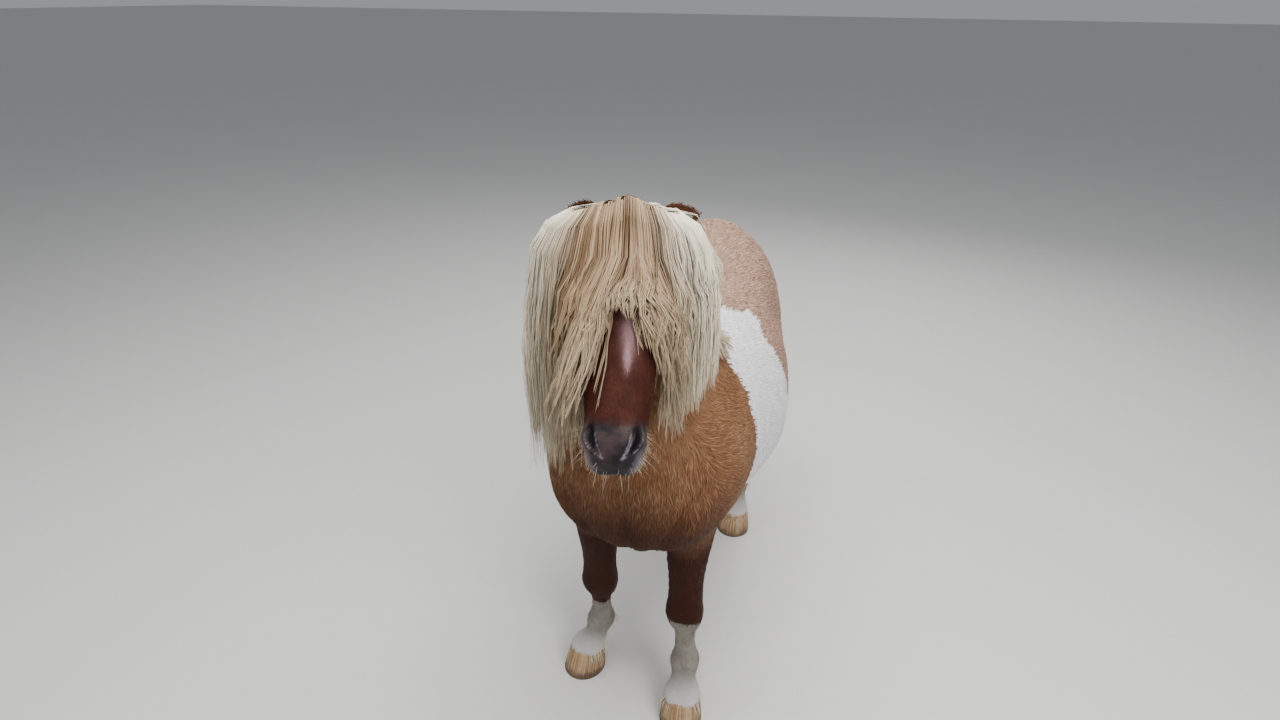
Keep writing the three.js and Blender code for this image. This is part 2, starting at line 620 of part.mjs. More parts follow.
// Tail: a tapering dock that carries the hair, and locks from it that reach nearly to the floor
const dock = [
  [462, 930, 27, 24],
  [506, 938, 29, 26],
  [546, 908, 27, 25],
  [566, 850, 23, 22],
  [572, 780, 18, 18],
  [574, 715, 12, 12],
];
const tail = {
  width: 50,
  tip: 58,
  bush: { half: 62, depth: 38 },
  rows: [
    { at: 1.7, count: 4, spread: 1.2, shorter: 70, bush: 1.05 },
    { at: 3, count: 5, spread: 1.6, shorter: 20, bush: 0.8 },
    { at: 4.5, count: 6, spread: 1.8, shorter: 0, bush: 0.5 },
  ],
};
function tailSolid() {
  const draw = draws(hair.draw + 2);
  const rings = dock.map(([y, z, half, depth]) => ({
    at: vec(0, y, z),
    side: vec(half, 0, 0),
    out: vec(0, depth, 0),
  }));
  const locks = [solid(sweep(rings, 12))];
  for (const { at: row, count, spread, shorter, bush } of tail.rows) {
    const [y, z, half] = along(dock, row);
    for (let i = 0; i < count; i++) {
      const angle = ((i + 0.5) / count - 0.5) * Math.PI * spread + draw(-0.12, 0.12);
      const way = vec(Math.sin(angle), Math.cos(angle), 0);
      const aside = vec(0, 0, 1).cross(way);
      const wide = Math.hypot(tail.bush.half * way.x, tail.bush.depth * way.y) * bush * draw(0.94, 1.06);
      const low = tail.tip + draw(0, 50) + shorter;
      const at = (f, r) =>
        vec(0, y, z + (low - z) * f)
          .addScaledVector(way, r)
          .addScaledVector(aside, draw(-3, 3))
          .add(vec(0, (580 - y) * f, 0));
      const path = [
        vec(0, y, z).addScaledVector(way, half * 0.3),
        at(0.04, half + 8),
        at(0.25, half + 4 + (wide - half) * 0.5),
        at(0.5, wide),
        at(0.78, wide * 0.8),
        at(1, wide * 0.45),
      ];
      const width = tail.width * draw(0.85, 1.15);
      locks.push(blade(path, aside, { width, twist: draw(-0.4, 0.4), grow: 0 }));
    }
  }
  return union(locks);
}

const earsGrown = union(bothSides.map((s) => earSolid(s, gap)));
const eyesGrown = union(bothSides.map((s) => eyeball(s, eye.radius + gap)));
const headWhole = headFlesh(0).add(headHair(0).subtract(earsGrown).subtract(eyesGrown));
const headGrown = union([headFlesh(gap), headHair(gap), earsGrown]);
const neckWhole = neckFlesh.add(neckHair()).subtract(torsoGrown).subtract(headGrown);

const model = new THREE.Group();
model.name = "shetland_pony";
model.add(mesh("torso", torsoFlesh, chestnut));
model.add(mesh("neck", neckWhole, chestnut));
model.add(mesh("head", headWhole, darkChestnut));
const headFleshGrown = headFlesh(gap);
bothSides.forEach((s, i) => {
  const side = s > 0 ? "left" : "right";
  model.add(mesh(`ear_${side}`, ears[i].subtract(headFleshGrown), chestnut));
  model.add(mesh(`eye_${side}`, eyeball(s, eye.radius), eyeBrown));
});
model.add(mesh("tail", tailSolid().subtract(torsoGrown), flaxen));

for (const leg of legs) {
  const below = part(legSolid(leg, 0), ...topPlane(leg))[1].subtract(torsoGrown);
  const [upper, lower] = part(below, vec(0, 0, leg.cut * unit), vec(0, 0, 1));
  model.add(mesh(`${leg.name}_upper`, upper, chestnut));
  model.add(mesh(`${leg.name}_lower`, lower, white));
  const foot = leg.rows[leg.rows.length - 1];
  const rings = hoofRings.map(([front, back, half, z]) => ({
    at: vec(0, (front + back) / 2, z),
    side: vec(half, 0, 0),
    out: vec(0, (back - front) / 2, 0),
  }));
  const hoof = new THREE.Mesh(geometryOf(solid(sweep(rings, 16))), horn);
  hoof.name = `hoof_${leg.name.replace("leg", "")}`;
  hoof.position.set(foot[5] * leg.mirror, (foot[0] + foot[2]) / 2, 0);
  hoof.rotation.z = leg.mirror * leg.toe;
  model.add(hoof);
}

// The origin moves to the middle of the whole, on the floor
model.updateMatrixWorld(true);
const whole = new THREE.Box3().setFromObject(model);
const middle = whole.getCenter(vec(0, 0, 0));
model.position.set(-middle.x, -middle.y, 0);
export default model;
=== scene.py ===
import math
import bpy
import numpy as np
from mathutils import Euler, Matrix, Vector
from mathutils.bvhtree import BVHTree


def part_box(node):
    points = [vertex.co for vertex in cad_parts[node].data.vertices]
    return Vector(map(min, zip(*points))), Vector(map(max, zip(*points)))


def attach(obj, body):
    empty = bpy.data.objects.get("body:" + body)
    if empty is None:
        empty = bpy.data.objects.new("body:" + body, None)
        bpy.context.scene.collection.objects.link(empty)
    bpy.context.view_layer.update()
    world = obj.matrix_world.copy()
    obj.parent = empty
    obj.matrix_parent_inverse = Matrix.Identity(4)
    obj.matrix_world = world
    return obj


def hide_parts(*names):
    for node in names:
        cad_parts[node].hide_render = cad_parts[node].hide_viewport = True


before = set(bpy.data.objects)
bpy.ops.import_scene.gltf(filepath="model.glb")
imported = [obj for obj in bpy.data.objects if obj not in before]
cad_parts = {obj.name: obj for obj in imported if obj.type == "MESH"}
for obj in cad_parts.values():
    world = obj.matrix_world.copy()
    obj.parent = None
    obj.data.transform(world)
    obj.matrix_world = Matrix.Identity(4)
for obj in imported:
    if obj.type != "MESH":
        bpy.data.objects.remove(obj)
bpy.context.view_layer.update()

# A Shetland pony, life size: one skin under a coat of tufts, long hair in strands, wet eyes and horn hooves.
# The shapes are drawn in millimetres facing -Y, as the solids are, and put into the frame in metres.

body = {
    "poll": (14, -495, 1245),  # top of the head, between the ears
    "headPitch": 45,  # degrees the face slopes down
    "headYaw": 12,  # degrees it is turned to the pony's left
    "coatDepth": 3.5,  # the skin lies this far inside the solids
    "faceDepth": 1.6,
    "legDepth": 1.2,
    "dockDepth": 3,
    "bodyNet": 7.2,  # size of the skin's even net
    "headNet": 3.1,
    "standX": {"left": 113, "right": 130, "hind": 106},
    "toeOut": {"left": 4, "right": 24},
    "rightForeBack": 80,
    "rightHindBack": 30,
    "hoofHeight": 62,
    "fetlock": 134,
}
eye = {"radius": 18, "at": (70, -128, -44), "lid": 3.4, "opening": (15.5, 9.5), "tilt": 12, "near": 60}
ear = {"length": 92, "at": (42, 14, -18), "way": (0.78, 0.6, -0.04), "wall": 3.0, "bend": 7, "depth": 0.8}
# Share of the ear's length, half width, depth
ear["rows"] = [(0, 14, 13), (0.15, 19, 15), (0.32, 25, 16), (0.52, 25, 13)]
ear["rows"] += [(0.74, 18, 9), (0.9, 10, 6), (1, 2, 2)]

# Stations across the side view: upper y, z, lower y, z, half width, x, widest, roundness above and below
torsoRows = [
    (-496, 718, -494, 634, 46, 0, 0.5, 2, 2),
    (-483, 790, -480, 576, 110, 0, 0.52, 2, 2.1),
    (-452, 862, -448, 530, 162, 0, 0.54, 2, 2.2),
    (-395, 925, -388, 495, 196, 0, 0.54, 1.9, 2.3),
    (-315, 970, -308, 474, 213, 0, 0.56, 1.8, 2.2),
    (-215, 998, -212, 454, 228, 0, 0.58, 1.75, 2.1),
    (-100, 984, -100, 428, 247, 0, 0.61, 1.85, 2.1),
    (40, 972, 40, 410, 262, 0, 0.64, 1.9, 2.15),
    (150, 992, 150, 426, 255, 0, 0.63, 1.85, 2.15),
    (250, 1026, 248, 480, 226, 0, 0.57, 1.7, 2.1),
    (335, 1036, 332, 556, 198, 0, 0.52, 1.65, 2.1),
    (412, 1004, 408, 620, 170, 0, 0.5, 1.8, 2),
    (472, 934, 468, 682, 130, 0, 0.48, 2, 2),
    (506, 860, 504, 736, 72, 0, 0.5, 2, 2),
]
# Bumps: place, reach, rise
torsoBumps = [
    ((205, -340, 700), 105, 8),  # shoulder
    ((120, -482, 655), 60, 12),  # point of shoulder
    ((0, -502, 665), 42, -12),  # furrow between the breast muscles
    ((155, -275, 565), 70, 9),  # triceps
    ((228, -180, 620), 60, -6),  # hollow behind the elbow
    ((225, 225, 820), 85, -20),  # flank
    ((150, 250, 950), 60, 8),  # point of hip
    ((0, 60, 962), 70, -4),  # back
    ((0, 360, 1030), 50, -6),  # split of the croup
    ((125, 470, 790), 80, 10),  # buttock
]
neckRows = [
    (-60, 900, -400, 560, 120, 0, 0.5, 2, 2),
    (-140, 972, -455, 660, 138, 0, 0.5, 1.9, 2),
    (-205, 1004, -492, 745, 134, 1, 0.52, 1.9, 2),
    (-270, 1046, -500, 830, 118, 3, 0.54, 1.9, 2),
    (-335, 1103, -490, 910, 104, 6, 0.56, 1.9, 2),
    (-400, 1168, -468, 985, 93, 9, 0.58, 1.9, 2),
    (-455, 1222, -440, 1052, 82, 11, 0.58, 1.9, 2),
    (-482, 1236, -428, 1085, 70, 12, 0.56, 1.9, 2),
]
neckBumps = [((0, -507, 800), 45, -6)]
foreRows = [
    (-452, 690, -240, 690, 70, 97, 0.5, 2, 2),
    (-436, 620, -245, 615, 68, 104, 0.5, 2, 2),
    (-415, 560, -250, 552, 61, 107, 0.5, 2, 2),
    (-399, 505, -262, 500, 53, 108, 0.48, 2, 2),
    (-389, 445, -284, 445, 46, 108, 0.45, 2, 2),
    (-381, 385, -299, 385, 41, 109, 0.45, 2, 2),
    (-379, 335, -303, 335, 41, 110, 0.45, 2.3, 2),
    (-383, 297, -302, 297, 45, 111, 0.45, 2.6, 2.2),
    (-376, 264, -304, 262, 39, 112, 0.45, 2.5, 2),
    (-366, 235, -308, 232, 27, 114, 0.45, 2.1, 1.9),
    (-363, 188, -307, 186, 25, 116, 0.42, 2, 1.8),
    (-368, 156, -301, 156, 31, 118, 0.42, 2, 1.9),
    (-376, 134, -298, 136, 37, 119, 0.42, 2, 2),
    (-384, 112, -312, 114, 31, 120, 0.44, 2, 2),
    (-396, 94, -324, 94, 31, 121, 0.45, 2, 2),
    (-416, 77, -330, 76, 41, 122, 0.46, 2.1, 2.1),
    (-428, 62, -332, 62, 47, 122, 0.46, 2.2, 2.2),
]
hindRows = [
    (195, 850, 470, 850, 78, 94, 0.5, 2, 2),
    (168, 765, 497, 760, 88, 103, 0.5, 2, 2),
    (152, 685, 500, 680, 89, 109, 0.5, 2, 2),
    (152, 612, 478, 612, 81, 111, 0.48, 2, 2),
    (168, 552, 450, 556, 70, 112, 0.46, 2, 2),
    (204, 498, 440, 505, 58, 111, 0.45, 2, 2),
    (256, 450, 450, 462, 47, 110, 0.45, 2, 1.9),
    (308, 412, 478, 424, 40, 109, 0.42, 2.1, 1.7),
    (344, 382, 480, 392, 41, 108, 0.42, 2.3, 1.8),
    (368, 345, 462, 350, 40, 107, 0.45, 2.3, 2),
    (382, 308, 448, 312, 32, 106, 0.45, 2.1, 1.9),
    (388, 268, 444, 270, 27, 106, 0.45, 2, 1.8),
    (388, 200, 446, 202, 25, 106, 0.43, 2, 1.8),
    (381, 160, 453, 162, 30, 106, 0.43, 2, 1.9),
    (374, 138, 458, 140, 35, 106, 0.43, 2, 2),
    (366, 114, 444, 117, 31, 106, 0.44, 2, 2),
    (353, 94, 430, 96, 31, 106, 0.45, 2, 2),
    (333, 77, 421, 77, 40, 106, 0.46, 2.1, 2.1),
    (320, 62, 417, 62, 45, 106, 0.46, 2.2, 2.2),
]
headRows = [
    (30, -22, -6, -112, 36, 0, 0.45, 2, 2),
    (8, -2, -26, -142, 58, 0, 0.4, 2.1, 2),
    (-30, 10, -62, -172, 74, 0, 0.36, 2.3, 2.1),
    (-70, 16, -98, -188, 84, 0, 0.34, 2.5, 2.3),
    (-110, 15, -134, -188, 87, 0, 0.34, 2.6, 2.4),
    (-147, 8, -166, -174, 82, 0, 0.37, 2.5, 2.4),
    (-186, 0, -198, -152, 72, 0, 0.4, 2.3, 2.3),
    (-226, -6, -232, -132, 63, 0, 0.43, 2.2, 2.2),
    (-266, -9, -268, -116, 57, 0, 0.46, 2.2, 2.2),
    (-304, -10, -302, -107, 52, 0, 0.46, 2.2, 2.2),
    (-338, -13, -332, -105, 48, 0, 0.44, 2.3, 2.3),
    (-366, -21, -356, -106, 45, 0, 0.44, 2.4, 2.3),
    (-387, -35, -377, -101, 40, 0, 0.46, 2.4, 2.2),
    (-399, -55, -391, -88, 28, 0, 0.5, 2.2, 2),
]
headBumps = [
    ((78, -112, -18), 26, 6),  # brow
    ((60, -118, -112), 60, 6),  # cheek
    ((68, -186, -58), 26, 4),  # facial crest
    ((42, -352, -36), 30, 8),  # nostril flare
    ((0, -352, -112), 24, 7),  # chin
    ((56, -238, -68), 34, -4),  # hollow of the cheek
]

pitchBy, yawBy = math.radians(body["headPitch"]), math.radians(body["headYaw"])
headTurn = np.array(Euler((pitchBy, 0, yawBy), "XYZ").to_matrix())
poll = np.array(body["poll"], float)
headAhead = np.array((math.sin(yawBy), -math.cos(yawBy), 0))
headAside = np.array((-headAhead[1], headAhead[0], 0))
eyeAt = np.array(eye["at"], float)  # the left one, in the head's frame

# The drawing's place in the frame, from the left eyeball
eyeLow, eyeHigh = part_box("eye_left")
place = np.array((eyeLow + eyeHigh) / 2) - (headTurn @ eyeAt + poll) / 1000


def toFrame(points):
    return points / 1000 + place


def onHead(points):
    return points @ headTurn.T + poll


def fromHead(points):
    return (points - poll) @ headTurn


def rowsAt(rows, p):
    # Catmull-Rom between rows b and d at share f: 0.5 (2b + (d-a) f + (2a-5b+4d-e) f^2 + (3b-a-3d+e) f^3)
    rows = np.asarray(rows, float)
    padded = np.vstack([rows[:1], rows, rows[-1:]])
    i = np.clip(np.floor(p).astype(int), 0, len(rows) - 2)
    f = (p - i)[..., None]
    a, b, d, e = (padded[i + k] for k in range(4))
    return 0.5 * (2 * b + (d - a) * f + (2 * a - 5 * b + 4 * d - e) * f**2 + (3 * b - a - 3 * d + e) * f**3)


def unit(v):
    return v / np.maximum(np.linalg.norm(v, axis=-1, keepdims=True), 1e-9)


def bell(points, at, reach):
    # 1 at a place, falling as exp(-2 (distance / reach)^2)
    return np.exp(-2 * (np.linalg.norm(points - np.asarray(at, float), axis=-1) / reach) ** 2)


def hump(x, at, wide):
    # 1 at a value, falling as exp(-((x - at) / wide)^2)
    return np.exp(-(((x - at) / wide) ** 2))


def step(low, high, x):
    # Smooth step 3t^2 - 2t^3 from low to high
    t = np.clip((x - low) / (high - low), 0, 1)
    return t * t * (3 - 2 * t)


def loftGrid(rows, rings, sides, grow=0.0, bumps=(), mirror=1):
    # Rings stand across their stations, a point at angle a: x = half |cos a|^(2/n), up = reach |sin a|^(2/n)
    stations = rowsAt(rows, np.linspace(0, len(rows) - 1, rings))
    y1, z1, y2, z2, half, x, widest, above, below = stations.T[..., None]
    angle = 2 * np.pi * (np.arange(sides) + 0.5) / sides
    c, s = np.cos(angle), np.sin(angle)
    length = np.hypot(y1 - y2, z1 - z2)
    power = 2 / np.where(s > 0, above, below)
    rise = np.sign(s) * np.abs(s) ** power * (np.where(s > 0, length * widest, length * (1 - widest)) + grow)
    aside = np.sign(c) * np.abs(c) ** power * (half + grow)
    away = np.stack([aside, (y1 - y2) / length * rise, (z1 - z2) / length * rise], -1)
    points = away + np.stack(np.broadcast_arrays(x, y1 + (y2 - y1) * widest, z1 + (z2 - z1) * widest), -1)
    lift = np.zeros(points.shape[:2])
    for (bx, by, bz), reach, height in bumps:
        for side in (1, -1) if bx else (1,):
            lift += height * bell(points, (bx * side, by, bz), reach)
    points = points + unit(away) * lift[..., None]
    points[..., 0] *= mirror
    return points


def drawnIn(points):
    # Rings with three more at each end, the last a fiftieth of its size and left open: vertices and quads
    shares = np.array((0.66, 0.33, 0.02))[:, None, None]
    first, last = points[0].mean(0), points[-1].mean(0)
    start, end = first + (points[:1] - first) * shares[::-1], last + (points[-1:] - last) * shares
    whole = np.vstack([start, points, end])
    rings, sides = whole.shape[:2]
    r, k = np.meshgrid(np.arange(rings - 1), np.arange(sides), indexing="ij")
    a, b = r * sides + k, r * sides + (k + 1) % sides
    return whole.reshape(-1, 3), np.stack([a, b, b + sides, a + sides], -1).reshape(-1, 4)


def joined(nets):
    # Nets of points and faces as one
    starts = np.cumsum([0] + [len(points) for points, _ in nets])
    return np.vstack([points for points, _ in nets]), np.vstack([q + at for (_, q), at in zip(nets, starts)])


def outward(points, faces):
    # Turned over where the volume, the sum of a . (b x c) + a . (c x d) over the faces, is negative
    a, b, c, d = (points[faces[:, k]] for k in (0, 1, 2, -1))
    volume = (a * np.cross(b, c)).sum() + (a * np.cross(c, d)).sum()
    return faces if volume > 0 else faces[:, ::-1]


def newMesh(name, points, faces):
    # A smooth mesh of triangles or quads
    mesh = bpy.data.meshes.new(name)
    mesh.vertices.add(len(points))
    mesh.vertices.foreach_set("co", np.asarray(points, np.float32).ravel())
    mesh.loops.add(faces.size)
    mesh.loops.foreach_set("vertex_index", faces.astype(np.int32).ravel())
    mesh.polygons.add(len(faces))
    mesh.polygons.foreach_set("loop_start", (np.arange(len(faces)) * faces.shape[1]).astype(np.int32))
    mesh.polygons.foreach_set("use_smooth", np.ones(len(faces), bool))
    mesh.update(calc_edges=True)
    mesh.validate()
    return mesh


def addPiece(name, mesh, material, replaced=()):
    piece = bpy.data.objects.new(name, mesh)
    bpy.context.scene.collection.objects.link(piece)
    mesh.materials.append(material)
    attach(piece, "root")
    if replaced:
        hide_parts(*replaced)


def setFields(mesh, **fields):
    for name, values in fields.items():
        data = mesh.attributes.new(name, "FLOAT_VECTOR", "POINT").data
        data.foreach_set("vector", values.astype(np.float32).ravel())


def evenNet(grids, net, rounds):
    # Joins ring grids into one skin on an even net and softens it: vertices and quads
    points, quads = joined([drawnIn(grid) for grid in grids])
    draft = bpy.data.objects.new("draft", newMesh("draft", points / 1000, quads))
    bpy.context.scene.collection.objects.link(draft)
    remesh = draft.modifiers.new("Even net", "REMESH")
    remesh.mode = "VOXEL"
    remesh.voxel_size = net / 1000
    draft.modifiers.new("Soften", "SMOOTH").iterations = rounds
    made = bpy.data.meshes.new_from_object(draft.evaluated_get(bpy.context.evaluated_depsgraph_get()))
    points = np.zeros(len(made.vertices) * 3, np.float32)
    made.vertices.foreach_get("co", points)
    loops = np.zeros(len(made.loops), np.int32)
    made.loops.foreach_get("vertex_index", loops)
    bpy.data.objects.remove(draft)
    bpy.data.meshes.remove(made)
    return points.reshape(-1, 3).astype(float) * 1000, loops.reshape(-1, 4)


def stance(rows, x, back, toe):
    # Moves the foot end of a leg in x and y by the share of its height below the third station
    rows = np.array(rows, float)
    share = np.clip((rows[2, 1] - rows[:, 1]) / (rows[2, 1] - rows[-1, 1]), 0, 1)
    below = rows[:, 1] <= body["fetlock"]
    ahead = np.where(below, rows[below][0, 0] - rows[:, 0], 0)
    moved = rows.copy()
    moved[:, 0] += back * share
    moved[:, 2] += back * share
    moved[:, 5] += (x - rows[-1, 5]) * share + ahead * math.tan(math.radians(toe))
    return moved


# Name, rows, side, degrees the toe is turned out
toes, stands = body["toeOut"], body["standX"]
legs = [
    (name, stance(rows, x, back, toe), side, toe)
    for name, rows, x, back, side, toe in (
        ("fore_left", foreRows, stands["left"], 0, 1, toes["left"]),
        ("fore_right", foreRows, stands["right"], body["rightForeBack"], -1, toes["right"]),
        ("hind_left", hindRows, stands["hind"], 0, 1, toes["left"]),
        ("hind_right", hindRows, stands["hind"], body["rightHindBack"], -1, toes["left"]),
    )
]


def netNormals(points, quads):
    # Corner normals added up from the quads' diagonals
    across = points[quads[:, 2]] - points[quads[:, 0]]
    along = points[quads[:, 3]] - points[quads[:, 1]]
    face = np.cross(across, along)
    total = np.zeros_like(points)
    for corner in range(4):
        for axis in range(3):
            total[:, axis] += np.bincount(quads[:, corner], face[:, axis], len(points))
    return unit(total)


faceForm = {
    "nostril": {"at": (34, -354, -24), "half": (6.2, 24, 17), "turn": 0.42, "curl": 0.008},
    "pit": 13,
    "rim": 2.2,
    "mouth": {"height": -73, "corner": -316, "depth": 4.6, "half": 3.0, "lips": 1.8},
    "chinBack": 7,
    "philtrum": 1.6,
}


def nostrilField(p, side):
    # Distance from the nostril's middle in its own curved frame, 1 at its edge; its place across and along it
    form = faceForm["nostril"]
    u, v, w = ((p - np.array(form["at"]) * (side, 1, 1)) * (side, 1, 1)).T
    c, s = math.cos(form["turn"]), math.sin(form["turn"])
    along = (u * s + v * c) / form["half"][1]
    across = u * c - v * s + form["curl"] * (along * form["half"][1] + 4) ** 2
    across = across / form["half"][0] / np.clip(1 + 0.4 * along, 0.6, 1.5)
    return np.sqrt(across**2 + along**2 + (w / form["half"][2]) ** 2), across, along


def withLids(p, side):
    # Skin near an eye drawn out over the ball, and sunk behind its face within the lids' opening
    centre = eyeAt * (side, 1, 1)
    away = p - centre
    far = np.linalg.norm(away, axis=1)
    ways = away / far[:, None]
    outer = ways[:, 0] * side
    c, s = math.cos(math.radians(eye["tilt"])), math.sin(math.radians(eye["tilt"]))
    along, upright = away[:, 1] * c + away[:, 2] * s, away[:, 2] * c - away[:, 1] * s
    q = np.abs(along / eye["opening"][0]) ** 2 + np.abs(upright / eye["opening"][1]) ** 1.6
    gap = (1 - step(0.8, 1.1, q)) * (outer > 0.2) * (far < eye["near"])
    reach = np.maximum(far, (eye["radius"] + eye["lid"]) * step(-0.2, 0.35, outer))
    reach = reach * (1 - gap) + eye["radius"] * 0.72 * gap
    near = (far < eye["near"]) & (outer > -0.2)
    return np.where(near[:, None], centre + ways * reach[:, None], p)


def shapeFace(points, quads):
    # Nostril pits, the line of the mouth, the lips and the lids, each a hump or step in the head's own frame
    normals = netNormals(points, quads) @ headTurn
    p = fromHead(points)
    x, y, z = p.T
    rise = np.zeros(len(p))
    mouth = faceForm["mouth"]
    for side in (1, -1):
        q, _, along = nostrilField(p, side)
        rise -= faceForm["pit"] * np.exp(-(q**4))
        rise += faceForm["rim"] * hump(q, 1.5, 0.4) * step(0.9, 0.2, along)
    opening = step(mouth["corner"], mouth["corner"] - 14, y)
    rise -= mouth["depth"] * opening * hump(z, mouth["height"], mouth["half"])
    for lip in (-10, 10):
        rise += mouth["lips"] * opening * hump(z, mouth["height"] - lip, 6)
    rise -= faceForm["philtrum"] * hump(x, 0, 4) * step(-372, -390, y) * step(-78, -60, z)
    p = p + normals * rise[:, None]
    p[:, 1] += faceForm["chinBack"] * step(-76, -92, z) * step(-330, -380, y)
    return onHead(withLids(withLids(p, 1), -1))


def earGrid(side):
    # A crescent section carried along the ear: outer arc behind, inner arc a wall's width before it
    upWay = np.array((0, math.sin(pitchBy), math.cos(pitchBy)))
    behind = np.array((0, math.cos(pitchBy), -math.sin(pitchBy)))
    aside, back, high = ear["way"]
    way = unit(np.array((side * aside, 0, 0)) + behind * back + upWay * high)
    facing = np.array((side * 0.25, 0, 0)) - behind + upWay * 0.2
    facing = unit(facing - way * (facing @ way))
    across = np.cross(way, facing)
    t = np.linspace(0, 1, 40)
    shares, halves, depths = np.array(ear["rows"], float).T
    half, depth = (np.interp(t, shares, values)[:, None] - ear["depth"] for values in (halves, depths))
    v = 2 * np.pi * np.arange(44) / 44
    c, s = np.cos(v), np.sin(v)
    cup = step(0.12, 0.4, t)[:, None]
    sunk = np.maximum(depth - ear["wall"], 0.5)
    u = c * np.where(s >= 0, half, np.maximum(half - ear["wall"] * cup, 0.6))
    w = np.maximum(-s, 0) * (depth * (1 - cup) - sunk * cup) - depth * np.maximum(s, 0)
    bend = ear["bend"] * np.sin(np.pi * t)[:, None]
    points = np.array(ear["at"], float) * (side, 1, 1) + way * (t * ear["length"])[:, None, None]
    return onHead(points + across * u[..., None] + facing * (w + bend * 0.3)[..., None])


# Down the dock: y, z, half width, half depth
dockRows = [
    (462, 930, 27, 24),
    (506, 938, 29, 26),
    (546, 908, 27, 25),
    (566, 850, 23, 22),
    (572, 780, 18, 18),
    (574, 715, 12, 12),
]


def dockGrid(grow):
    # Round sections down the dock's middle line
    y, z, half, depth = rowsAt(dockRows, np.linspace(0, len(dockRows) - 1, 60)).T[..., None]
    a = 2 * np.pi * np.arange(40) / 40
    return np.stack([(half + grow) * np.cos(a), y + (depth + grow) * np.sin(a), z + 0 * a], -1)


def shapeBody(points, quads):
    # Valleys: down the middle of the breast, and from there over each arm's root to the shoulder's point
    x, y, z = points.T
    front = step(-400, -440, y)
    deep = 11 * hump(x, 0, 15) * hump(z, 610, 80) * front
    for side in (1, -1):
        line = x * side - 62 - 0.52 * (z - 545)
        deep += 9 * hump(line, 0, 17) * step(500, 550, z) * step(760, 660, z) * front
    return points - netNormals(points, quads) * deep[:, None]


# The skin: body, head and ears
inset = -body["coatDepth"]
grids = [loftGrid(torsoRows, 130, 150, inset, torsoBumps), loftGrid(neckRows, 80, 110, inset, neckBumps)]
grids += [loftGrid(rows, 130, 60, -body["legDepth"], (), mirror) for _, rows, mirror, _ in legs]
bodyNet = evenNet([*grids, dockGrid(-body["dockDepth"])], body["bodyNet"], 5)
headNet = evenNet([onHead(loftGrid(headRows, 140, 150, -body["faceDepth"], headBumps))], body["headNet"], 3)
print("skin nets made", len(bodyNet[1]), len(headNet[1]))
nets = [(shapeBody(*bodyNet), bodyNet[1]), (shapeFace(*headNet), headNet[1])]
nets += [drawnIn(earGrid(side)) for side in (1, -1)]
skinPart = np.repeat([0, 1, 2, 2], [len(points) for points, _ in nets])
skinPoints, skinQuads = joined([(points, outward(points, quads)) for points, quads in nets])
skinNormals = netNormals(skinPoints, skinQuads)
skinTree = BVHTree.FromPolygons(skinPoints.tolist(), skinQuads.tolist())
print("skin ready,", len(skinQuads) * 2, "triangles")


def castAll(origins, ways, distance=1e6):
    # Distance to the skin along each way and whether it is met from inside
    far = np.full(len(origins), np.inf)
    within = np.zeros(len(origins), bool)
    for i, (origin, way) in enumerate(zip(origins.tolist(), ways.tolist())):
        _, normal, _, hit = skinTree.ray_cast(origin, way, distance)
        if hit is not None:
            far[i] = hit
            within[i] = normal.dot(Vector(way)) > 0
    return far, within


# Markings in the drawing's millimetres, each as a smooth field that the material cuts at one half
markings = {
    "whiteFront": -224,  # the white flank's edge behind the left shoulder
    "whiteRear": 45,
    "whiteSweep": 60,  # how much further back it runs low down
    "whiteTop": 909,  # at y = 0, falling by this slope to the rear
    "whiteSlope": 0.42,
    "whiteUnder": -60,  # under the belly to the right
    "rightPatch": ((-230, 190, 690), 165),  # hidden side, guessed
    "socks": {"fore_left": 284, "fore_right": 226, "hind_left": 215, "hind_right": 262},
    "hairline": -331,  # along the nose, in the head's frame
}


def wander(points, size, seed):
    # A slow irregular wave: sines along four turned directions, between -1 and 1
    draw = np.random.default_rng(seed)
    total = np.zeros(len(points))
    for k in range(4):
        way = unit(draw.normal(size=3))
        total += np.sin(points @ way * (2 * np.pi / size) * (1 + 0.35 * k) + draw.uniform(0, 6.3)) / 4
    return total


def bodyMarks(points, part):
    # White, dark and roan. White is a distance in millimetres from its edge, squeezed to 0 to 1. Dark is
    # partly painted shade, on the breast and low on the body where the light from above leaves them in shade,
    # and partly the legs' own darker coat
    x, y, z = points.T
    drift = wander(points, 150, 3) * 11 + wander(points, 48, 4) * 5
    lobes = wander(points, 330, 12) * 55 + wander(points, 110, 13) * 22
    left = np.minimum.reduce([
        y - markings["whiteFront"] + drift + 0.35 * lobes * step(640, 520, z),
        markings["whiteRear"] - y + drift + lobes + markings["whiteSweep"] * step(850, 700, z),
        markings["whiteTop"] - markings["whiteSlope"] * y - z + drift,
        x - markings["whiteUnder"] + drift,
    ])
    at, size = markings["rightPatch"]
    right = size - np.linalg.norm((points - at) * (1, 0.8, 1.1), axis=1) + drift + lobes * 0.8
    white = np.maximum(left, np.where(x < 0, right, -100))
    for name, _, mirror, _ in legs:
        near = (x * mirror > 20) & ((y < 0) == name.startswith("fore")) & (z < 420)
        white = np.where(near, np.maximum(white, markings["socks"][name] - z + drift * 0.7), white)
    white = np.where(part > 0, -100, white)
    # Painted shade: the breast is darkened as if shaded from the light above; the darkening low on the body
    # is painted shade under the belly together with the legs' darker coat
    breast = 0.9 * step(790, 600, z + 0.25 * np.abs(x)) * step(-330, -430, y)
    arms = step(610, 470, z) * step(-190, -230, y)
    dark = np.maximum.reduce([breast, arms, 0.7 * step(560, 430, z), step(500, 380, z)])
    roan = step(-170, -40, y) * step(560, 700, z) * (1 - dark)
    crest = step(940, 1000, z) * step(-330, -200, y)
    return np.stack([np.clip(white / 100, -1, 1) * 0.5 + 0.5, dark, np.maximum(roan, crest)], 1)


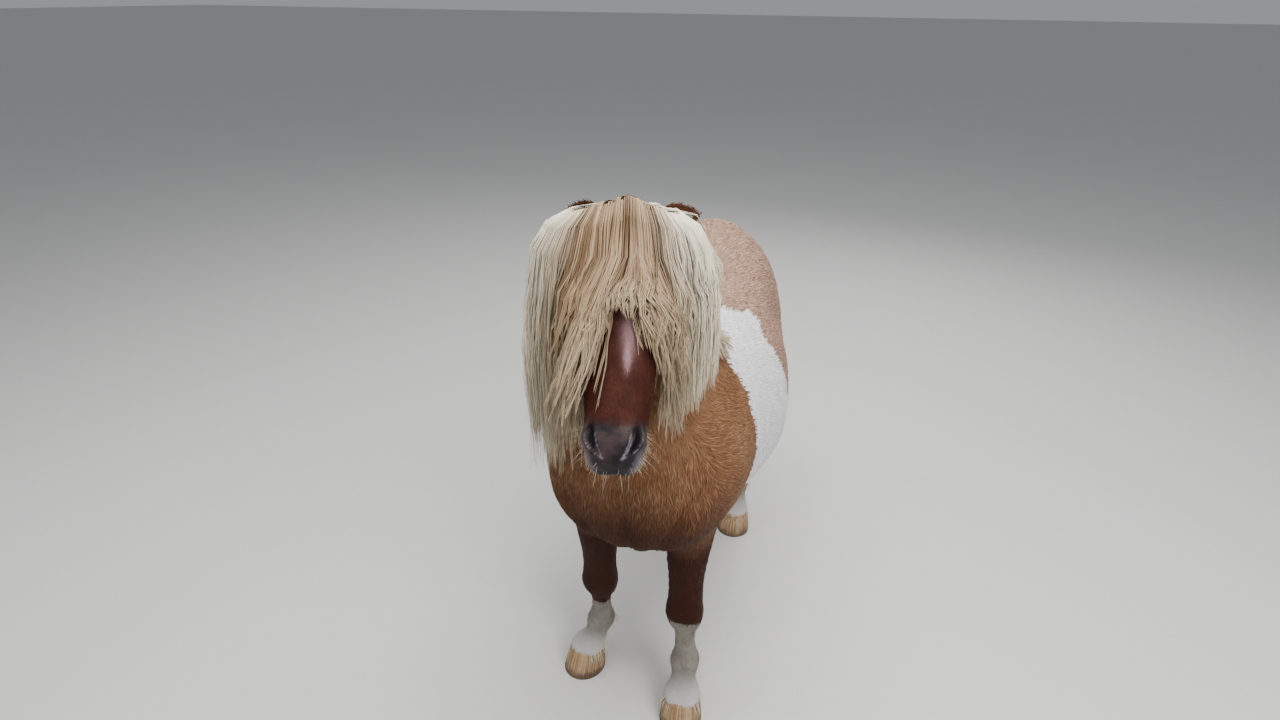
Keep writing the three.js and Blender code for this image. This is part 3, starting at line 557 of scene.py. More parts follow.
def faceMarks(points, part):
    # Red face, bare muzzle, and pale: above 0 on rims, lips and blaze, below 0 for painted shade in the
    # nostrils and along the mouth's line, and darker at the middle front of the upper lip
    h = fromHead(points)
    x, y, z = h.T
    wide = np.abs(x)
    red = np.where(part == 1, 1.0, np.where(part == 2, 0.7, 0.0))
    hairline = markings["hairline"] + 9 * (1 - hump(x, 0, 30)) + wander(points, 26, 5) * 3
    bare = np.where(part == 1, step(hairline + 11, hairline - 11, y), 0)
    pale = 0.5 * hump(wide, 40, 9) * step(-338, -352, y) * step(-22, -40, z)
    pale += 0.45 * hump(wide, 27, 9) * hump(z, -55, 13)
    for side in (1, -1):
        q, across, along = nostrilField(h, side)
        pale += hump(q, 1.3, 0.22) * step(0.7, 0, along) * np.where(across < 0, 1, 0.6)
        # Painted shade: near black inside each nostril
        pale -= 1.8 * np.exp(-((q * 0.93) ** 6))
    mouth = faceForm["mouth"]
    lip = step(mouth["height"] - 2, mouth["height"] - 8, z) * step(-340, -372, y)
    # The mouth's line is painted shade, a dark band where the lips meet
    line = hump(z, mouth["height"], 2.4) * step(mouth["corner"], mouth["corner"] - 14, y)
    front = hump(x, 0, 20) * hump(z, -52, 14) * step(-366, -382, y)
    pale += 0.5 * lip * (1 - line) - 1.6 * line - 0.55 * front
    blaze = bell(h, (15, -228, -8), 30) * hump(x, 14, 6) * (0.42 + 0.2 * wander(points, 12, 11))
    blaze += 0.42 * bell(h, (18, -180, 0), 75) * hump(x, 16, 19)
    pale = np.where(part == 1, pale + 2 * blaze * (1 - bare), 0)
    return np.stack([red, bare, np.clip(pale, -1.5, 1.5)], 1)


def coatLie(points, normals, part):
    # The way the hair lies, blended by height and place, and laid flat on the skin
    x, y, z = points.T
    neck = step(800, 920, z) * step(-190, -270, y)
    front = step(-400, -460, y)
    under = step(-0.5, -0.8, normals[:, 2]) * step(360, 400, z)
    leg = step(600, 500, z) * (1 - under)
    ways = np.tile((0.0, 0.92, -0.4), (len(points), 1))
    lies = ((neck, (0, 0.35, -0.94)), (front, (0, 0.1, -1)), (leg, (0, 0.12, -1)), (under, (0, 1, 0)))
    for share, way in lies:
        ways = ways * (1 - share[:, None]) + np.array(way, float) * share[:, None]
    ways[:, 0] += 0.12 * wander(points, 420, 8)
    ways[:, 1] += 0.12 * wander(points, 380, 9)
    ways = np.where((part == 1)[:, None], headTurn @ np.array((0, -1.0, -0.25)), ways)
    earWay = headTurn @ np.array((0, 0.6, 0.1)) + np.sign(x)[:, None] * headAside * 0.7
    ways = np.where((part == 2)[:, None], earWay, ways)
    return unit(ways - normals * (ways * normals).sum(1, keepdims=True))


def grainOf(points, ways):
    # Coordinates for streaks: the place with its share along the hair pressed to an eighth
    along = (points * ways).sum(1, keepdims=True)
    return (points - ways * along * 0.88) / 1000


def unwrapped(points, part):
    # The skin laid flat: the angle round each part's axis by the length along it, each part in its own strip
    x, y, z = points.T
    h = fromHead(points)
    uv = np.stack([np.arctan2(x, z - 700) / (2 * np.pi) * 0.48 + 0.25, 0.03 + (y + 520) / 1140 * 0.56], 1)
    neck = (part == 0) & (z > 900 + 0.8 * (y + 300))
    turn = np.arctan2(x, -(y + 420)) / (2 * np.pi)
    uv[neck] = np.stack([turn * 0.46 + 0.75, 0.03 + (z - 560) / 720 * 0.25], 1)[neck]
    low = (part == 0) & (z < 470) & (np.abs(x) > 50)
    for i, (name, _, mirror, _) in enumerate(legs):
        fore = name.startswith("fore")
        mine = low & (x * mirror > 0) & ((y < 0) == fore)
        middle = -330 if fore else 410
        turn = np.arctan2(x - mirror * 112, y - middle) / (2 * np.pi)
        uv[mine] = np.stack([turn * 0.22 + 0.125 + 0.25 * i, 0.65 + z / 470 * 0.33], 1)[mine]
    turn = np.arctan2(h[:, 0], h[:, 2] + 70) / (2 * np.pi)
    uv[part > 0] = np.stack([turn * 0.46 + 0.75, 0.33 + (h[:, 1] + 420) / 560 * 0.28], 1)[part > 0]
    return np.clip(uv, 0.002, 0.995)


def setBakeMap(mesh, roots, part, patch):
    # Each tuft is a small patch of the bake map at its root's unwrapped place
    uv = np.repeat(unwrapped(roots, part), len(patch) // len(roots), 0) + patch * 0.003
    vertices = np.zeros(len(mesh.loops), np.int32)
    mesh.loops.foreach_get("vertex_index", vertices)
    mesh.uv_layers.new(name="OFBake").data.foreach_set("uv", uv[vertices].astype(np.float32).ravel())


coat = {
    "counts": {
        "coatLeft": 16500,
        "coatRight": 16500,
        "coatNeck": 14500,
        "coatHead": 15500,
        "coatLegs": 14500,
    },
    "length": 21,  # on the trunk
    "width": 2.3,
    "lift": 1.15,  # how far the middle of a tuft stands over the skin
    "sink": 0.9,
    "stray": 0.2,  # radians a tuft may turn out of the lie
    "middle": 0.42,  # share of the length at the wider ring
    "bare": 0.5,  # no tufts where more of the skin is bare
    "lowest": 64,
}


def tuftSize(points, part):
    # Share of the full length: short on face and feet, longer under the jaw
    z = points[:, 2]
    h = fromHead(points)
    size = 1 - 0.52 * step(520, 330, z) - 0.12 * step(200, 80, z)
    faceSize = 0.3 + 0.25 * step(-60, -150, h[:, 2]) * step(-300, -200, h[:, 1])
    return np.where(part == 0, size, np.where(part == 1, faceSize, 0.4))


triangles = np.vstack([skinQuads[:, [0, 1, 2]], skinQuads[:, [0, 2, 3]]])
corners = skinPoints[triangles]
middles = corners.mean(1)
areas = np.linalg.norm(np.cross(corners[:, 1] - corners[:, 0], corners[:, 2] - corners[:, 0]), axis=1) / 2
partOf = skinPart[triangles[:, 0]]
acrossAt, alongAt, heightAt = middles.T
trunk = partOf == 0
onLegs = trunk & (heightAt < 480) & (np.abs(acrossAt) > 48)
onLegs &= (heightAt < 400) | (np.abs(alongAt + 330) < 95) | (alongAt > 180)
onNeck = trunk & ~onLegs & (alongAt < -300)
trunk &= ~onLegs & ~onNeck
regionOf = {
    "coatLeft": trunk & (acrossAt >= 0),
    "coatRight": trunk & (acrossAt < 0),
    "coatNeck": onNeck,
    "coatHead": partOf > 0,
    "coatLegs": onLegs,
}


def scatter(region, count, draw):
    # Even random places: triangles drawn by area, corner weights from a folded unit square
    mine = np.flatnonzero(region)
    weight = areas[mine] / tuftSize(middles[mine], partOf[mine]) ** 1.3
    pick = mine[draw.choice(len(mine), count, p=weight / weight.sum())]
    a, b = draw.random((2, count, 1))
    fold = a + b > 1
    a, b = np.where(fold, 1 - a, a), np.where(fold, 1 - b, b)
    p, q, r = corners[pick].transpose(1, 0, 2)
    cornerNormals = skinNormals[triangles[pick]]
    normals = unit(cornerNormals[:, 0] * (1 - a - b) + cornerNormals[:, 1] * a + cornerNormals[:, 2] * b)
    return p + a * (q - p) + b * (r - p), normals, partOf[pick]


# A tuft's triangles: points 0 to 2 at the root, 3 to 5 at the wider ring, 6 at the tip
tuftShape = np.array([
    *((0, 2, 1), (0, 1, 4), (0, 4, 3), (1, 2, 5), (1, 5, 4)),
    *((2, 0, 3), (2, 3, 5), (3, 4, 6), (4, 5, 6), (5, 3, 6)),
])
tuftPatch = [(0, 0), (0.5, 0.1), (1, 0), (0, 0.5), (0.5, 0.6), (1, 0.5), (0.5, 1)]
tuftSoft = (0.8, 0, -0.8, 0.8, 0, -0.8, 0)  # how far each point's normal leans sideways


def coatPiece(name, material):
    # A tuft is a closed three-sided blade: a ring sunk at the root, a wider ring and a tip
    draw = np.random.default_rng(sum(map(ord, name)))
    points, normals, part = scatter(regionOf[name], coat["counts"][name], draw)
    _, buried = castAll(points + normals * 1.5, normals)
    keep = ~buried & (faceMarks(points, part)[:, 1] < coat["bare"]) & (points[:, 2] > coat["lowest"])
    points, normals, part = points[keep], normals[keep], part[keep]
    n = len(points)
    ways = coatLie(points, normals, part)
    sideways = np.cross(normals, ways)
    turn = (draw.normal(size=(n, 1)) + wander(points, 60, 6)[:, None]) * coat["stray"] * 0.7
    c, s = np.cos(turn), np.sin(turn)
    ways, sideways = ways * c + sideways * s, sideways * c - ways * s
    size = tuftSize(points, part)[:, None]
    long = coat["length"] * size * draw.uniform(0.7, 1.25, (n, 1))
    wide = coat["width"] * (0.35 + 0.65 * size) * draw.uniform(0.7, 1.25, (n, 1))
    lift = coat["lift"] * (0.25 + 0.75 * size) * draw.uniform(0.5, 1.35, (n, 1))
    middle = points + ways * long * coat["middle"] + normals * lift
    tip = points + ways * long + normals * lift * draw.uniform(0.2, 1.1, (n, 1))
    tip += sideways * long * draw.normal(size=(n, 1)) * 0.05
    rows = []
    for centre, half in ((points - normals * coat["sink"], 0.34), (middle, 0.5)):
        edge = sideways * wide * half
        rows += [centre + edge, centre + normals * wide * 0.3, centre - edge]
    whole = np.stack([*rows, tip], 1).reshape(-1, 3)
    faces = outward(whole, (tuftShape + 7 * np.arange(n)[:, None, None]).reshape(-1, 3))
    mesh = newMesh(name, toFrame(whole), faces)
    soft = np.stack([normals + sideways * lean for lean in tuftSoft], 1)
    mesh.normals_split_custom_set_from_vertices(unit(soft.reshape(-1, 3)).tolist())
    along = np.tile([0, 0, 0, coat["middle"], coat["middle"], coat["middle"], 1], n)
    tone = np.repeat(draw.random(n) * 0.6 + 0.4 * (wander(points, 35, 7) * 0.5 + 0.5), 7)
    setFields(
        mesh,
        marks=np.repeat(bodyMarks(points, part), 7, 0),
        face=np.repeat(faceMarks(points, part), 7, 0),
        tuft=np.stack([tone, along, 0 * tone], 1),  # the material reads two
        grain=grainOf(whole, np.repeat(ways, 7, 0)),
    )
    setBakeMap(mesh, points, part, np.tile(tuftPatch, (n, 1)))
    addPiece(name, mesh, material)
    print(name, n, "tufts", len(faces), "triangles")


# Shader helpers: each adds nodes to a tree and gives the socket they put out
def feed(tree, inputs, values):
    # Links or numbers for a node's inputs
    for key, value in values.items():
        if isinstance(value, bpy.types.NodeSocket):
            tree.links.new(value, inputs[key])
        else:
            inputs[key].default_value = value


def node(tree, kind, inputs=None, **settings):
    made = tree.nodes.new(kind)
    for key, value in settings.items():
        setattr(made, key, value)
    feed(tree, made.inputs, inputs or {})
    return made


def mixed(tree, share, a, b):
    a, b = (v if isinstance(v, bpy.types.NodeSocket) else (*v, 1) for v in (a, b))
    return node(tree, "ShaderNodeMix", {0: share, 6: a, 7: b}, data_type="RGBA").outputs[2]


def sums(tree, operation, a, b=0.0, c=0.0):
    return node(tree, "ShaderNodeMath", {0: a, 1: b, 2: c}, operation=operation).outputs[0]


def weighted(tree, start, *pairs):
    # start + the sum of value * weight
    for value, weight in pairs:
        start = sums(tree, "MULTIPLY_ADD", value, weight, start)
    return start


def ramped(tree, value, low, high, start=0.0, end=1.0):
    inputs = {0: value, 1: low, 2: high, 3: start, 4: end}
    return node(tree, "ShaderNodeMapRange", inputs, interpolation_type="SMOOTHSTEP").outputs[0]


def noise(tree, vector, scale, detail=3.0, roughness=0.55):
    inputs = {"Vector": vector, "Scale": scale, "Detail": detail, "Roughness": roughness}
    return node(tree, "ShaderNodeTexNoise", inputs).outputs["Fac"]


def stretched(tree, vector, scale):
    return node(tree, "ShaderNodeMapping", {"Vector": vector, "Scale": scale}).outputs[0]


def split(tree, vector):
    return node(tree, "ShaderNodeSeparateXYZ", {0: vector}).outputs


def field(tree, name):
    return node(tree, "ShaderNodeAttribute", attribute_name=name).outputs["Vector"]


def objectPlace(tree):
    return node(tree, "ShaderNodeTexCoord").outputs["Object"]


def brightened(tree, value, colour):
    return node(tree, "ShaderNodeHueSaturation", {"Value": value, "Color": colour}).outputs[0]


def bumped(tree, height, distance, strength):
    inputs = {"Height": height, "Distance": distance, "Strength": strength}
    return node(tree, "ShaderNodeBump", inputs).outputs[0]


def newMaterial(name, paint, *settings):
    # paint gives the shader's inputs as links or numbers
    material = bpy.data.materials.new(name)
    material.use_nodes = True
    tree = material.node_tree
    feed(tree, tree.nodes["Principled BSDF"].inputs, paint(tree, *settings))
    return material


def newGroup(name, inputs, outputs):
    tree = bpy.data.node_groups.new(name, "ShaderNodeTree")
    for way, sockets in (("INPUT", inputs), ("OUTPUT", outputs)):
        for label, kind in sockets.items():
            tree.interface.new_socket(label, in_out=way, socket_type=f"NodeSocket{kind}")
    return tree, tree.nodes.new("NodeGroupInput").outputs, tree.nodes.new("NodeGroupOutput").inputs


coatPaint = {
    "chestnut": (0.155, 0.064, 0.027),
    "chestnutPale": (0.275, 0.145, 0.073),
    # Dark brown: the legs' darker coat, and painted shade on the breast and under the belly
    "darkBrownAndShade": (0.034, 0.0078, 0.0023),
    "faceRed": (0.033, 0.0054, 0.0020),
    "faceWarm": (0.058, 0.0135, 0.005),
    "roanTan": (0.50, 0.345, 0.265),
    "roanShade": (0.25, 0.13, 0.08),
    "fleck": (0.12, 0.055, 0.03),
    "white": (0.88, 0.875, 0.89),
    "whiteShade": (0.68, 0.65, 0.64),
    "sock": (0.24, 0.218, 0.178),
    "sockShade": (0.115, 0.097, 0.072),
    "muzzle": (0.052, 0.032, 0.032),
    "muzzleDark": (0.013, 0.011, 0.013),
    "muzzlePale": (0.23, 0.185, 0.235),
    "blaze": (0.33, 0.19, 0.20),
    "hollow": (0.005, 0.004, 0.005),  # painted shade in the nostrils and along the mouth's line
}


def coatGroup():
    # Chestnut, dark and roan hair with painted shade in the dark, the white cut at one half of its field, and
    # the bare muzzle over them with painted shade in its nostrils and mouth
    inputs = {"Marks": "Vector", "Face": "Vector", "Grain": "Vector", "Tone": "Float"}
    outputs = {"Colour": "Color", "Height": "Float", "Roughness": "Float"}
    tree, given, out = newGroup("Coat colours", inputs, outputs)
    marks, face, tone = split(tree, given["Marks"]), split(tree, given["Face"]), given["Tone"]
    spot = objectPlace(tree)
    streak = noise(tree, given["Grain"], 190, 5, 0.68)
    slow = noise(tree, spot, 7, 3)
    patchy = noise(tree, spot, 34, 4)

    def over(colour, share, name):
        return mixed(tree, share, colour, coatPaint[name])

    def between(value, low, high, first, second):
        return mixed(tree, ramped(tree, value, low, high), coatPaint[first], coatPaint[second])

    warm = between(sums(tree, "ADD", tone, slow), 0.5, 1.5, "chestnut", "chestnutPale")
    # Painted shade on the breast and under the belly, with the legs' darker coat
    warm = over(warm, marks["Y"], "darkBrownAndShade")
    roan = sums(tree, "MULTIPLY", marks["Z"], ramped(tree, patchy, 0.25, 0.6, 0.75, 1))
    grizzled = weighted(tree, 0.0, (tone, 0.55), (streak, 0.9))
    warm = mixed(tree, roan, warm, between(grizzled, 0.42, 1.05, "roanShade", "roanTan"))
    flecks = ramped(tree, noise(tree, spot, 95, 1), 0.70, 0.75, 0, 0.75)
    warm = over(warm, sums(tree, "MULTIPLY", marks["Z"], flecks), "fleck")
    red = between(weighted(tree, patchy, (streak, 0.6)), 0.62, 1.1, "faceRed", "faceWarm")
    warm = mixed(tree, face["X"], warm, red)
    warm = over(warm, ramped(tree, face["Z"], 0.05, 1.3), "blaze")
    warm = brightened(tree, weighted(tree, 0.45, (tone, 0.3), (streak, 0.8)), warm)
    clean = weighted(tree, 0.0, (patchy, 0.5), (streak, 0.6))
    white = between(clean, 0.3, 0.75, "whiteShade", "white")
    height = split(tree, spot)["Z"]
    stained = ramped(tree, weighted(tree, height, (patchy, 0.05)), 0.07, 0.16, 0.35, 1)
    low = sums(tree, "MULTIPLY", ramped(tree, height, 0.46, 0.34, 0, 0.95), stained)
    white = mixed(tree, low, white, between(clean, 0.32, 0.72, "sockShade", "sock"))
    streakAway, patchAway = (sums(tree, "SUBTRACT", v, 0.5) for v in (streak, patchy))
    edge = weighted(tree, marks["X"], (streakAway, 0.16), (patchAway, 0.07))
    hairy = mixed(tree, ramped(tree, edge, 0.49, 0.51), warm, white)
    leather = between(patchy, 0.35, 0.65, "muzzleDark", "muzzle")
    leather = over(leather, ramped(tree, face["Z"], 0.1, 1.0, 0, 0.85), "muzzlePale")
    # Painted shade in the nostrils and along the mouth's line
    leather = over(leather, ramped(tree, face["Z"], -0.1, -1.0), "hollow")
    pores = node(tree, "ShaderNodeTexVoronoi", {"Vector": spot, "Scale": 420.0}).outputs["Distance"]
    ridges = sums(tree, "MULTIPLY", streak, sums(tree, "SUBTRACT", 1, face["Y"]))
    feed(tree, out, {
        "Colour": mixed(tree, face["Y"], hairy, leather),
        "Height": weighted(tree, ridges, (sums(tree, "MULTIPLY", pores, 0.3), face["Y"])),
        "Roughness": ramped(tree, face["Y"], 0, 1, 0.7, 0.5),
    })
    return tree


coatColours = coatGroup()


def coatShader(tree, bumpDistance):
    # The shared colours, a little brighter towards each tuft's tip
    tuft = split(tree, field(tree, "tuft"))
    given = {label: field(tree, label.lower()) for label in ("Marks", "Face", "Grain")}
    out = node(tree, "ShaderNodeGroup", node_tree=coatColours)
    feed(tree, out.inputs, {**given, "Tone": tuft["X"]})
    return {
        "Base Color": brightened(tree, ramped(tree, tuft["Y"], 0, 1, 0.86, 1.08), out.outputs["Colour"]),
        "Roughness": out.outputs["Roughness"],
        "Normal": bumped(tree, out.outputs["Height"], bumpDistance, 0.8),
        "Specular IOR Level": 0.16,
    }


skinMesh = newMesh("skin", toFrame(skinPoints), skinQuads)
setFields(
    skinMesh,
    marks=bodyMarks(skinPoints, skinPart),
    face=faceMarks(skinPoints, skinPart),
    tuft=np.tile((0.4, 0.35, 0.5), (len(skinPoints), 1)),
    grain=grainOf(skinPoints, coatLie(skinPoints, skinNormals, skinPart)),
)
fleshNodes = ["torso", "neck", "head", "ear_left", "ear_right"]
for side in ("left", "right"):
    for limb in ("foreleg", "hindleg"):
        fleshNodes += [f"{limb}_{side}_upper", f"{limb}_{side}_lower"]
addPiece("skin", skinMesh, newMaterial("Skin and short hair", coatShader, 0.0012), fleshNodes)
tuftMaterial = newMaterial("Coat tufts", coatShader, 0.0006)
for name in coat["counts"]:
    coatPiece(name, tuftMaterial)

hair = {"thick": 0.8, "sink": 10, "fall": 42, "stray": 0.06}
hair["taper"] = ((0, 0.1, 0.35, 0.7, 1), (0.6, 0.95, 1, 0.8, 0.14))  # share of the way, of the width
arch = (18, 38, 60, 84)  # degrees from upright at which a path's first points stand
hang = (0.14, 0.3, 0.47, 0.64, 0.82, 1.0)  # share of the fall at its other points
rings = np.array([0, 0.08, 0.17, 0.27, 0.39, 0.52, 0.66, 0.81, 0.96])  # share of a path at a strand's rings


def curves(paths):
    # Each path's points joined smoothly and read at the rings' shares of it
    count = paths.shape[1]
    flat = rowsAt(paths.transpose(1, 0, 2).reshape(count, -1), rings * (count - 1))
    return flat.reshape(len(rings), len(paths), 3).transpose(1, 0, 2)


def reachOut(points, ways):
    # How far out from points on an axis inside the outermost skin lies
    far, _ = castAll(points + ways * 700, -ways, 700)
    return np.where(np.isfinite(far), 700 - far, 0)


def falling(root, way, drop, lift, rise, out, flare, bends):
    # Each path leaves its root upwards, arches out to its reach and falls outside the skin to its tip.
    # bends: sideways drift, size and phase of a side wave, size of an outward wave
    aside = np.stack([-way[:, 1], way[:, 0], way[:, 2]], 1)
    drift, wave, phase, puff = bends
    path = [root - (0, 0, hair["sink"])]
    r = np.zeros(len(root))

    def over(z):
        axis = root.copy()
        axis[:, 2] = np.minimum(z, root[:, 2] - 6)
        return reachOut(axis, way) + lift

    def put(r, z, bend):
        at = root.copy()
        at[:, 2] = z
        path.append(at + way * r[:, None] + aside * bend[:, None])

    for turnBy in arch:
        angle = math.radians(turnBy)
        z = root[:, 2] - hair["fall"] + (hair["fall"] + rise) * math.cos(angle)
        r = np.maximum.reduce([r + 3, out * math.sin(angle), np.where(z < root[:, 2], over(z), 0)])
        put(r, z, wave * 0.4 * np.sin(angle * 1.4 + phase) * math.sin(angle))
    for f in hang:
        z = root[:, 2] - hair["fall"] - (drop - hair["fall"]) * f
        r = np.maximum.reduce([r * 0.97, out + flare * math.sin(f * 2.4), over(z)])
        swell = puff * (0.5 + 0.5 * np.sin(f * 7 + phase * 1.7)) * f
        put(r + swell, z, drift * f**0.8 + wave * np.sin(f * (5.5 + phase * 0.4) + phase))
    return np.stack(path, 1)


def gathered(locks, wisps, strands, ofLock, ofWisp, loose):
    # Wisps are drawn to their lock's path and strands to their wisp's, more towards the tips
    steps = np.linspace(0, 1, strands.shape[1])[None, :, None]
    wisps = wisps + (locks[ofLock] - wisps) * 0.4 * steps**1.2
    return curves(strands + (wisps[ofWisp] - strands) * (0.92 - loose[:, None, None]) * steps**0.7)


def tangle(paths, draw, size):
    # Small bends that grow to the tip: two sines with a phase of their own for each strand
    n = len(paths)
    phase = draw.uniform(0, 6.3, (n, 1, 3))
    s = rings[None, :, None]
    waves = np.sin(8 * s + phase) + 0.6 * np.sin(19 * s + 2 * phase)
    return paths + size * s * waves * draw.uniform(0.2, 1.3, (n, 1, 1))


def woven(locks, wisps, strands, ofLock, ofWisp, draw, size):
    # Gathered and tangled, with a few strands that go half their own way
    loose = 0.5 * (draw.random(len(strands)) < hair["stray"])
    return tangle(gathered(locks, wisps, strands, ofLock, ofWisp, loose), draw, size)


# A strand's triangles: closed at the root, three sides between its rings, and a tip
last = len(rings) * 3 - 3
strandShape = [(0, 2, 1)]
for r in range(0, last, 3):
    for a, b in ((r, r + 1), (r + 1, r + 2), (r + 2, r)):
        strandShape += [(a, b, b + 3), (a, b + 3, a + 3)]
strandShape += [(last, last + 1, last + 3), (last + 1, last + 2, last + 3), (last + 2, last, last + 3)]
strandShape = np.array(strandShape)


def strandPiece(name, strands, part, replaced=()):
    # A strand is a closed three-sided blade along its path: two edges and a ridge on the outer face, to a tip
    paths, outs, widths, tones, roots = strands
    n, m = paths.shape[:2]
    size = m * 3 + 1
    heading = unit(np.gradient(paths, axis=1))
    sideways = unit(np.cross(heading, outs[:, None]))
    upward = np.cross(sideways, heading)
    half = widths[:, None, None] * 0.5 * np.interp(rings, *hair["taper"])[None, :, None]
    edge, ridge = sideways * half, upward * half * hair["thick"]
    blades = np.stack([paths + edge, paths + ridge, paths - edge], 2)
    tips = paths[:, -1] + heading[:, -1] * widths[:, None] * 3
    points = np.concatenate([blades.reshape(n, m * 3, 3), tips[:, None]], 1).reshape(-1, 3)
    faces = outward(points, (strandShape + size * np.arange(n)[:, None, None]).reshape(-1, 3))
    mesh = newMesh(name, toFrame(points), faces)
    along = np.tile(np.append(np.repeat(rings, 3), 1), n)
    across = np.tile(np.append(np.tile((0, 0.5, 1), m), 0.5), n)
    lengths = np.linalg.norm(np.diff(paths, axis=1), axis=2).sum(1)
    tone, pale, wide, long, apart = (
        np.repeat(v, size) for v in (tones[:, 0], tones[:, 1], widths, lengths, np.arange(n) * 37 % 7000)
    )
    setFields(
        mesh,
        strand=np.stack([tone, along, pale], 1),
        grain=np.stack([across * wide, along * long * 0.06, apart], 1) / 1000,
    )
    setBakeMap(mesh, roots, np.full(n, part), np.stack([across, along], 1))
    addPiece(name, mesh, hairMaterial, replaced)
    print(name, n, "strands", len(faces), "triangles")


forelock = {
    "locks": 84,
    "wisps": 640,
    "crowd": 0.05,
    # Degrees round the poll from the parting, the locks' length there and their drift sideways
    "turns": (-106, -75, -52, -36, -20, -8, 2, 9, 16, 26, 38, 54, 88),
    "drops": (450, 430, 390, 375, 330, 235, 120, 84, 118, 245, 350, 315, 255),
    "sweeps": (0, -8, -18, -28, -38, -46, -44, 4, 18, 16, 10, 5, 0),
    "wide": {"right": 100, "left": 78},
    "clear": 34,
    "flare": 20,
    "width": 2.4,
}


def forelockPaths(turn, depth, drop, bends):
    # Round the poll by turn; inner ones lie on the head, outer ones arch over them and part over the face
    angle = np.radians(turn)
    c, s = np.cos(angle)[:, None], np.sin(angle)[:, None]
    way = headAhead * c + headAside * s
    besides, before = 48 - 18 * depth, 36 - 26 * depth
    inward = headAhead * c * before[:, None] + headAside * s * besides[:, None]
    root = poll + inward
    top = np.column_stack([root[:, :2], np.full(len(root), 1700.0)])
    down, _ = castAll(top, np.tile((0, 0, -1.0), (len(root), 1)))
    root[:, 2] = np.where(np.isfinite(down), 1700 - down, poll[2])
    lift = 2 + 22 * depth
    side = np.abs(s[:, 0])
    wide = np.where(turn < 0, forelock["wide"]["right"], forelock["wide"]["left"])
    out = forelock["clear"] + wide * side**1.2 + lift - np.linalg.norm(inward, axis=1) - 14 * (1 - depth)
    behind = np.clip(-c[:, 0], 0, 1)
    rise = poll[2] + (26 + 40 * depth) * (1 - 0.6 * side**2) * (1 - 0.5 * behind) - root[:, 2]
    long = np.interp(turn, forelock["turns"], forelock["drops"]) * drop
    drift = bends[0] + np.interp(turn, forelock["turns"], forelock["sweeps"])
    flare = forelock["flare"] * side**2
    return falling(root, way, long, lift, rise, out, flare, (drift, *bends[1:])), way, root


def bendsOf(draw, parent, own, sizes):
    # A member's bends: its parent's and some of its own
    n = len(own)
    drift, wave, phase, puff = (v[own] for v in parent)
    return (
        drift + draw.normal(size=n) * sizes[0],
        wave + draw.uniform(0, sizes[1], n),
        phase + draw.normal(size=n) * sizes[2],
        puff * draw.uniform(0.6, 1.2, n),
    )


def forelockStrands(count, inner, outer, seed, span=(-106, 88), short=1.0):
    # Locks round the poll, wisps about each lock, strands about each wisp; loose and pale to the sides
    draw = np.random.default_rng(seed)
    locks, wisps = forelock["locks"], forelock["wisps"]
    f = (np.arange(locks) + 0.5) / locks
    spread = f - forelock["crowd"] * np.sin(2 * np.pi * f)
    turn = span[0] + (span[1] - span[0]) * spread + draw.normal(size=locks) * 3
    depth = draw.uniform(inner, outer, locks)
    drop = draw.uniform(0.82, 1.1, locks) * short
    drift = draw.normal(size=locks) * 16
    bends = (drift, draw.uniform(2, 11, locks), draw.uniform(0, 6.3, locks), draw.uniform(0, 13, locks))
    tone = draw.random(locks)
    lockPaths = forelockPaths(turn, depth, drop, bends)[0]

    ofLock = draw.integers(locks, size=wisps)
    turn2 = turn[ofLock] + draw.normal(size=wisps) * 4
    depth2 = np.clip(depth[ofLock] + draw.normal(size=wisps) * 0.2, 0, 1)
    drop2 = drop[ofLock] * draw.uniform(0.74, 1.08, wisps)
    bends2 = bendsOf(draw, bends, ofLock, (13, 7, 0.9))
    tone2 = tone[ofLock] * 0.4 + draw.random(wisps) * 0.6
    wispPaths = forelockPaths(turn2, depth2, drop2, bends2)[0]

    ofWisp = draw.integers(wisps, size=count)
    turn3 = turn2[ofWisp] + draw.normal(size=count) * 1.8
    depth3 = np.clip(depth2[ofWisp] + draw.normal(size=count) * 0.05, 0, 1)
    drop3 = drop2[ofWisp] * draw.uniform(0.88, 1.03, count)
    bends3 = bendsOf(draw, bends2, ofWisp, (3, 2, 0.3))
    strands, way, root = forelockPaths(turn3, depth3, drop3, bends3)
    pale = np.clip((np.abs(turn3 + 6) - 36) / 34, 0, 1)
    stray = draw.random(count) < 0.05 + 0.05 * pale
    loose = np.where(stray, 0.6, 0.5 * pale * draw.random(count))
    shaped = gathered(lockPaths, wispPaths, strands, ofLock, ofWisp, loose)
    shaped = tangle(shaped, draw, 1.2 + 3.4 * pale[:, None, None])
    widths = forelock["width"] * draw.uniform(0.55, 1.35, count) * np.where(stray, 0.5, 1)
    tones = np.clip(tone2[ofWisp] * 0.66 + draw.random(count) * 0.16 + 0.3 * depth3 - 0.08, 0, 1)
    return shaped, way, widths, np.stack([tones, pale], 1), root


flaxen = {
    "cream": (0.42, 0.295, 0.17),
    "pale": (0.80, 0.735, 0.575),
    "tip": (0.70, 0.575, 0.385),
    "straw": (0.20, 0.115, 0.055),
    "root": (0.18, 0.105, 0.055),
}


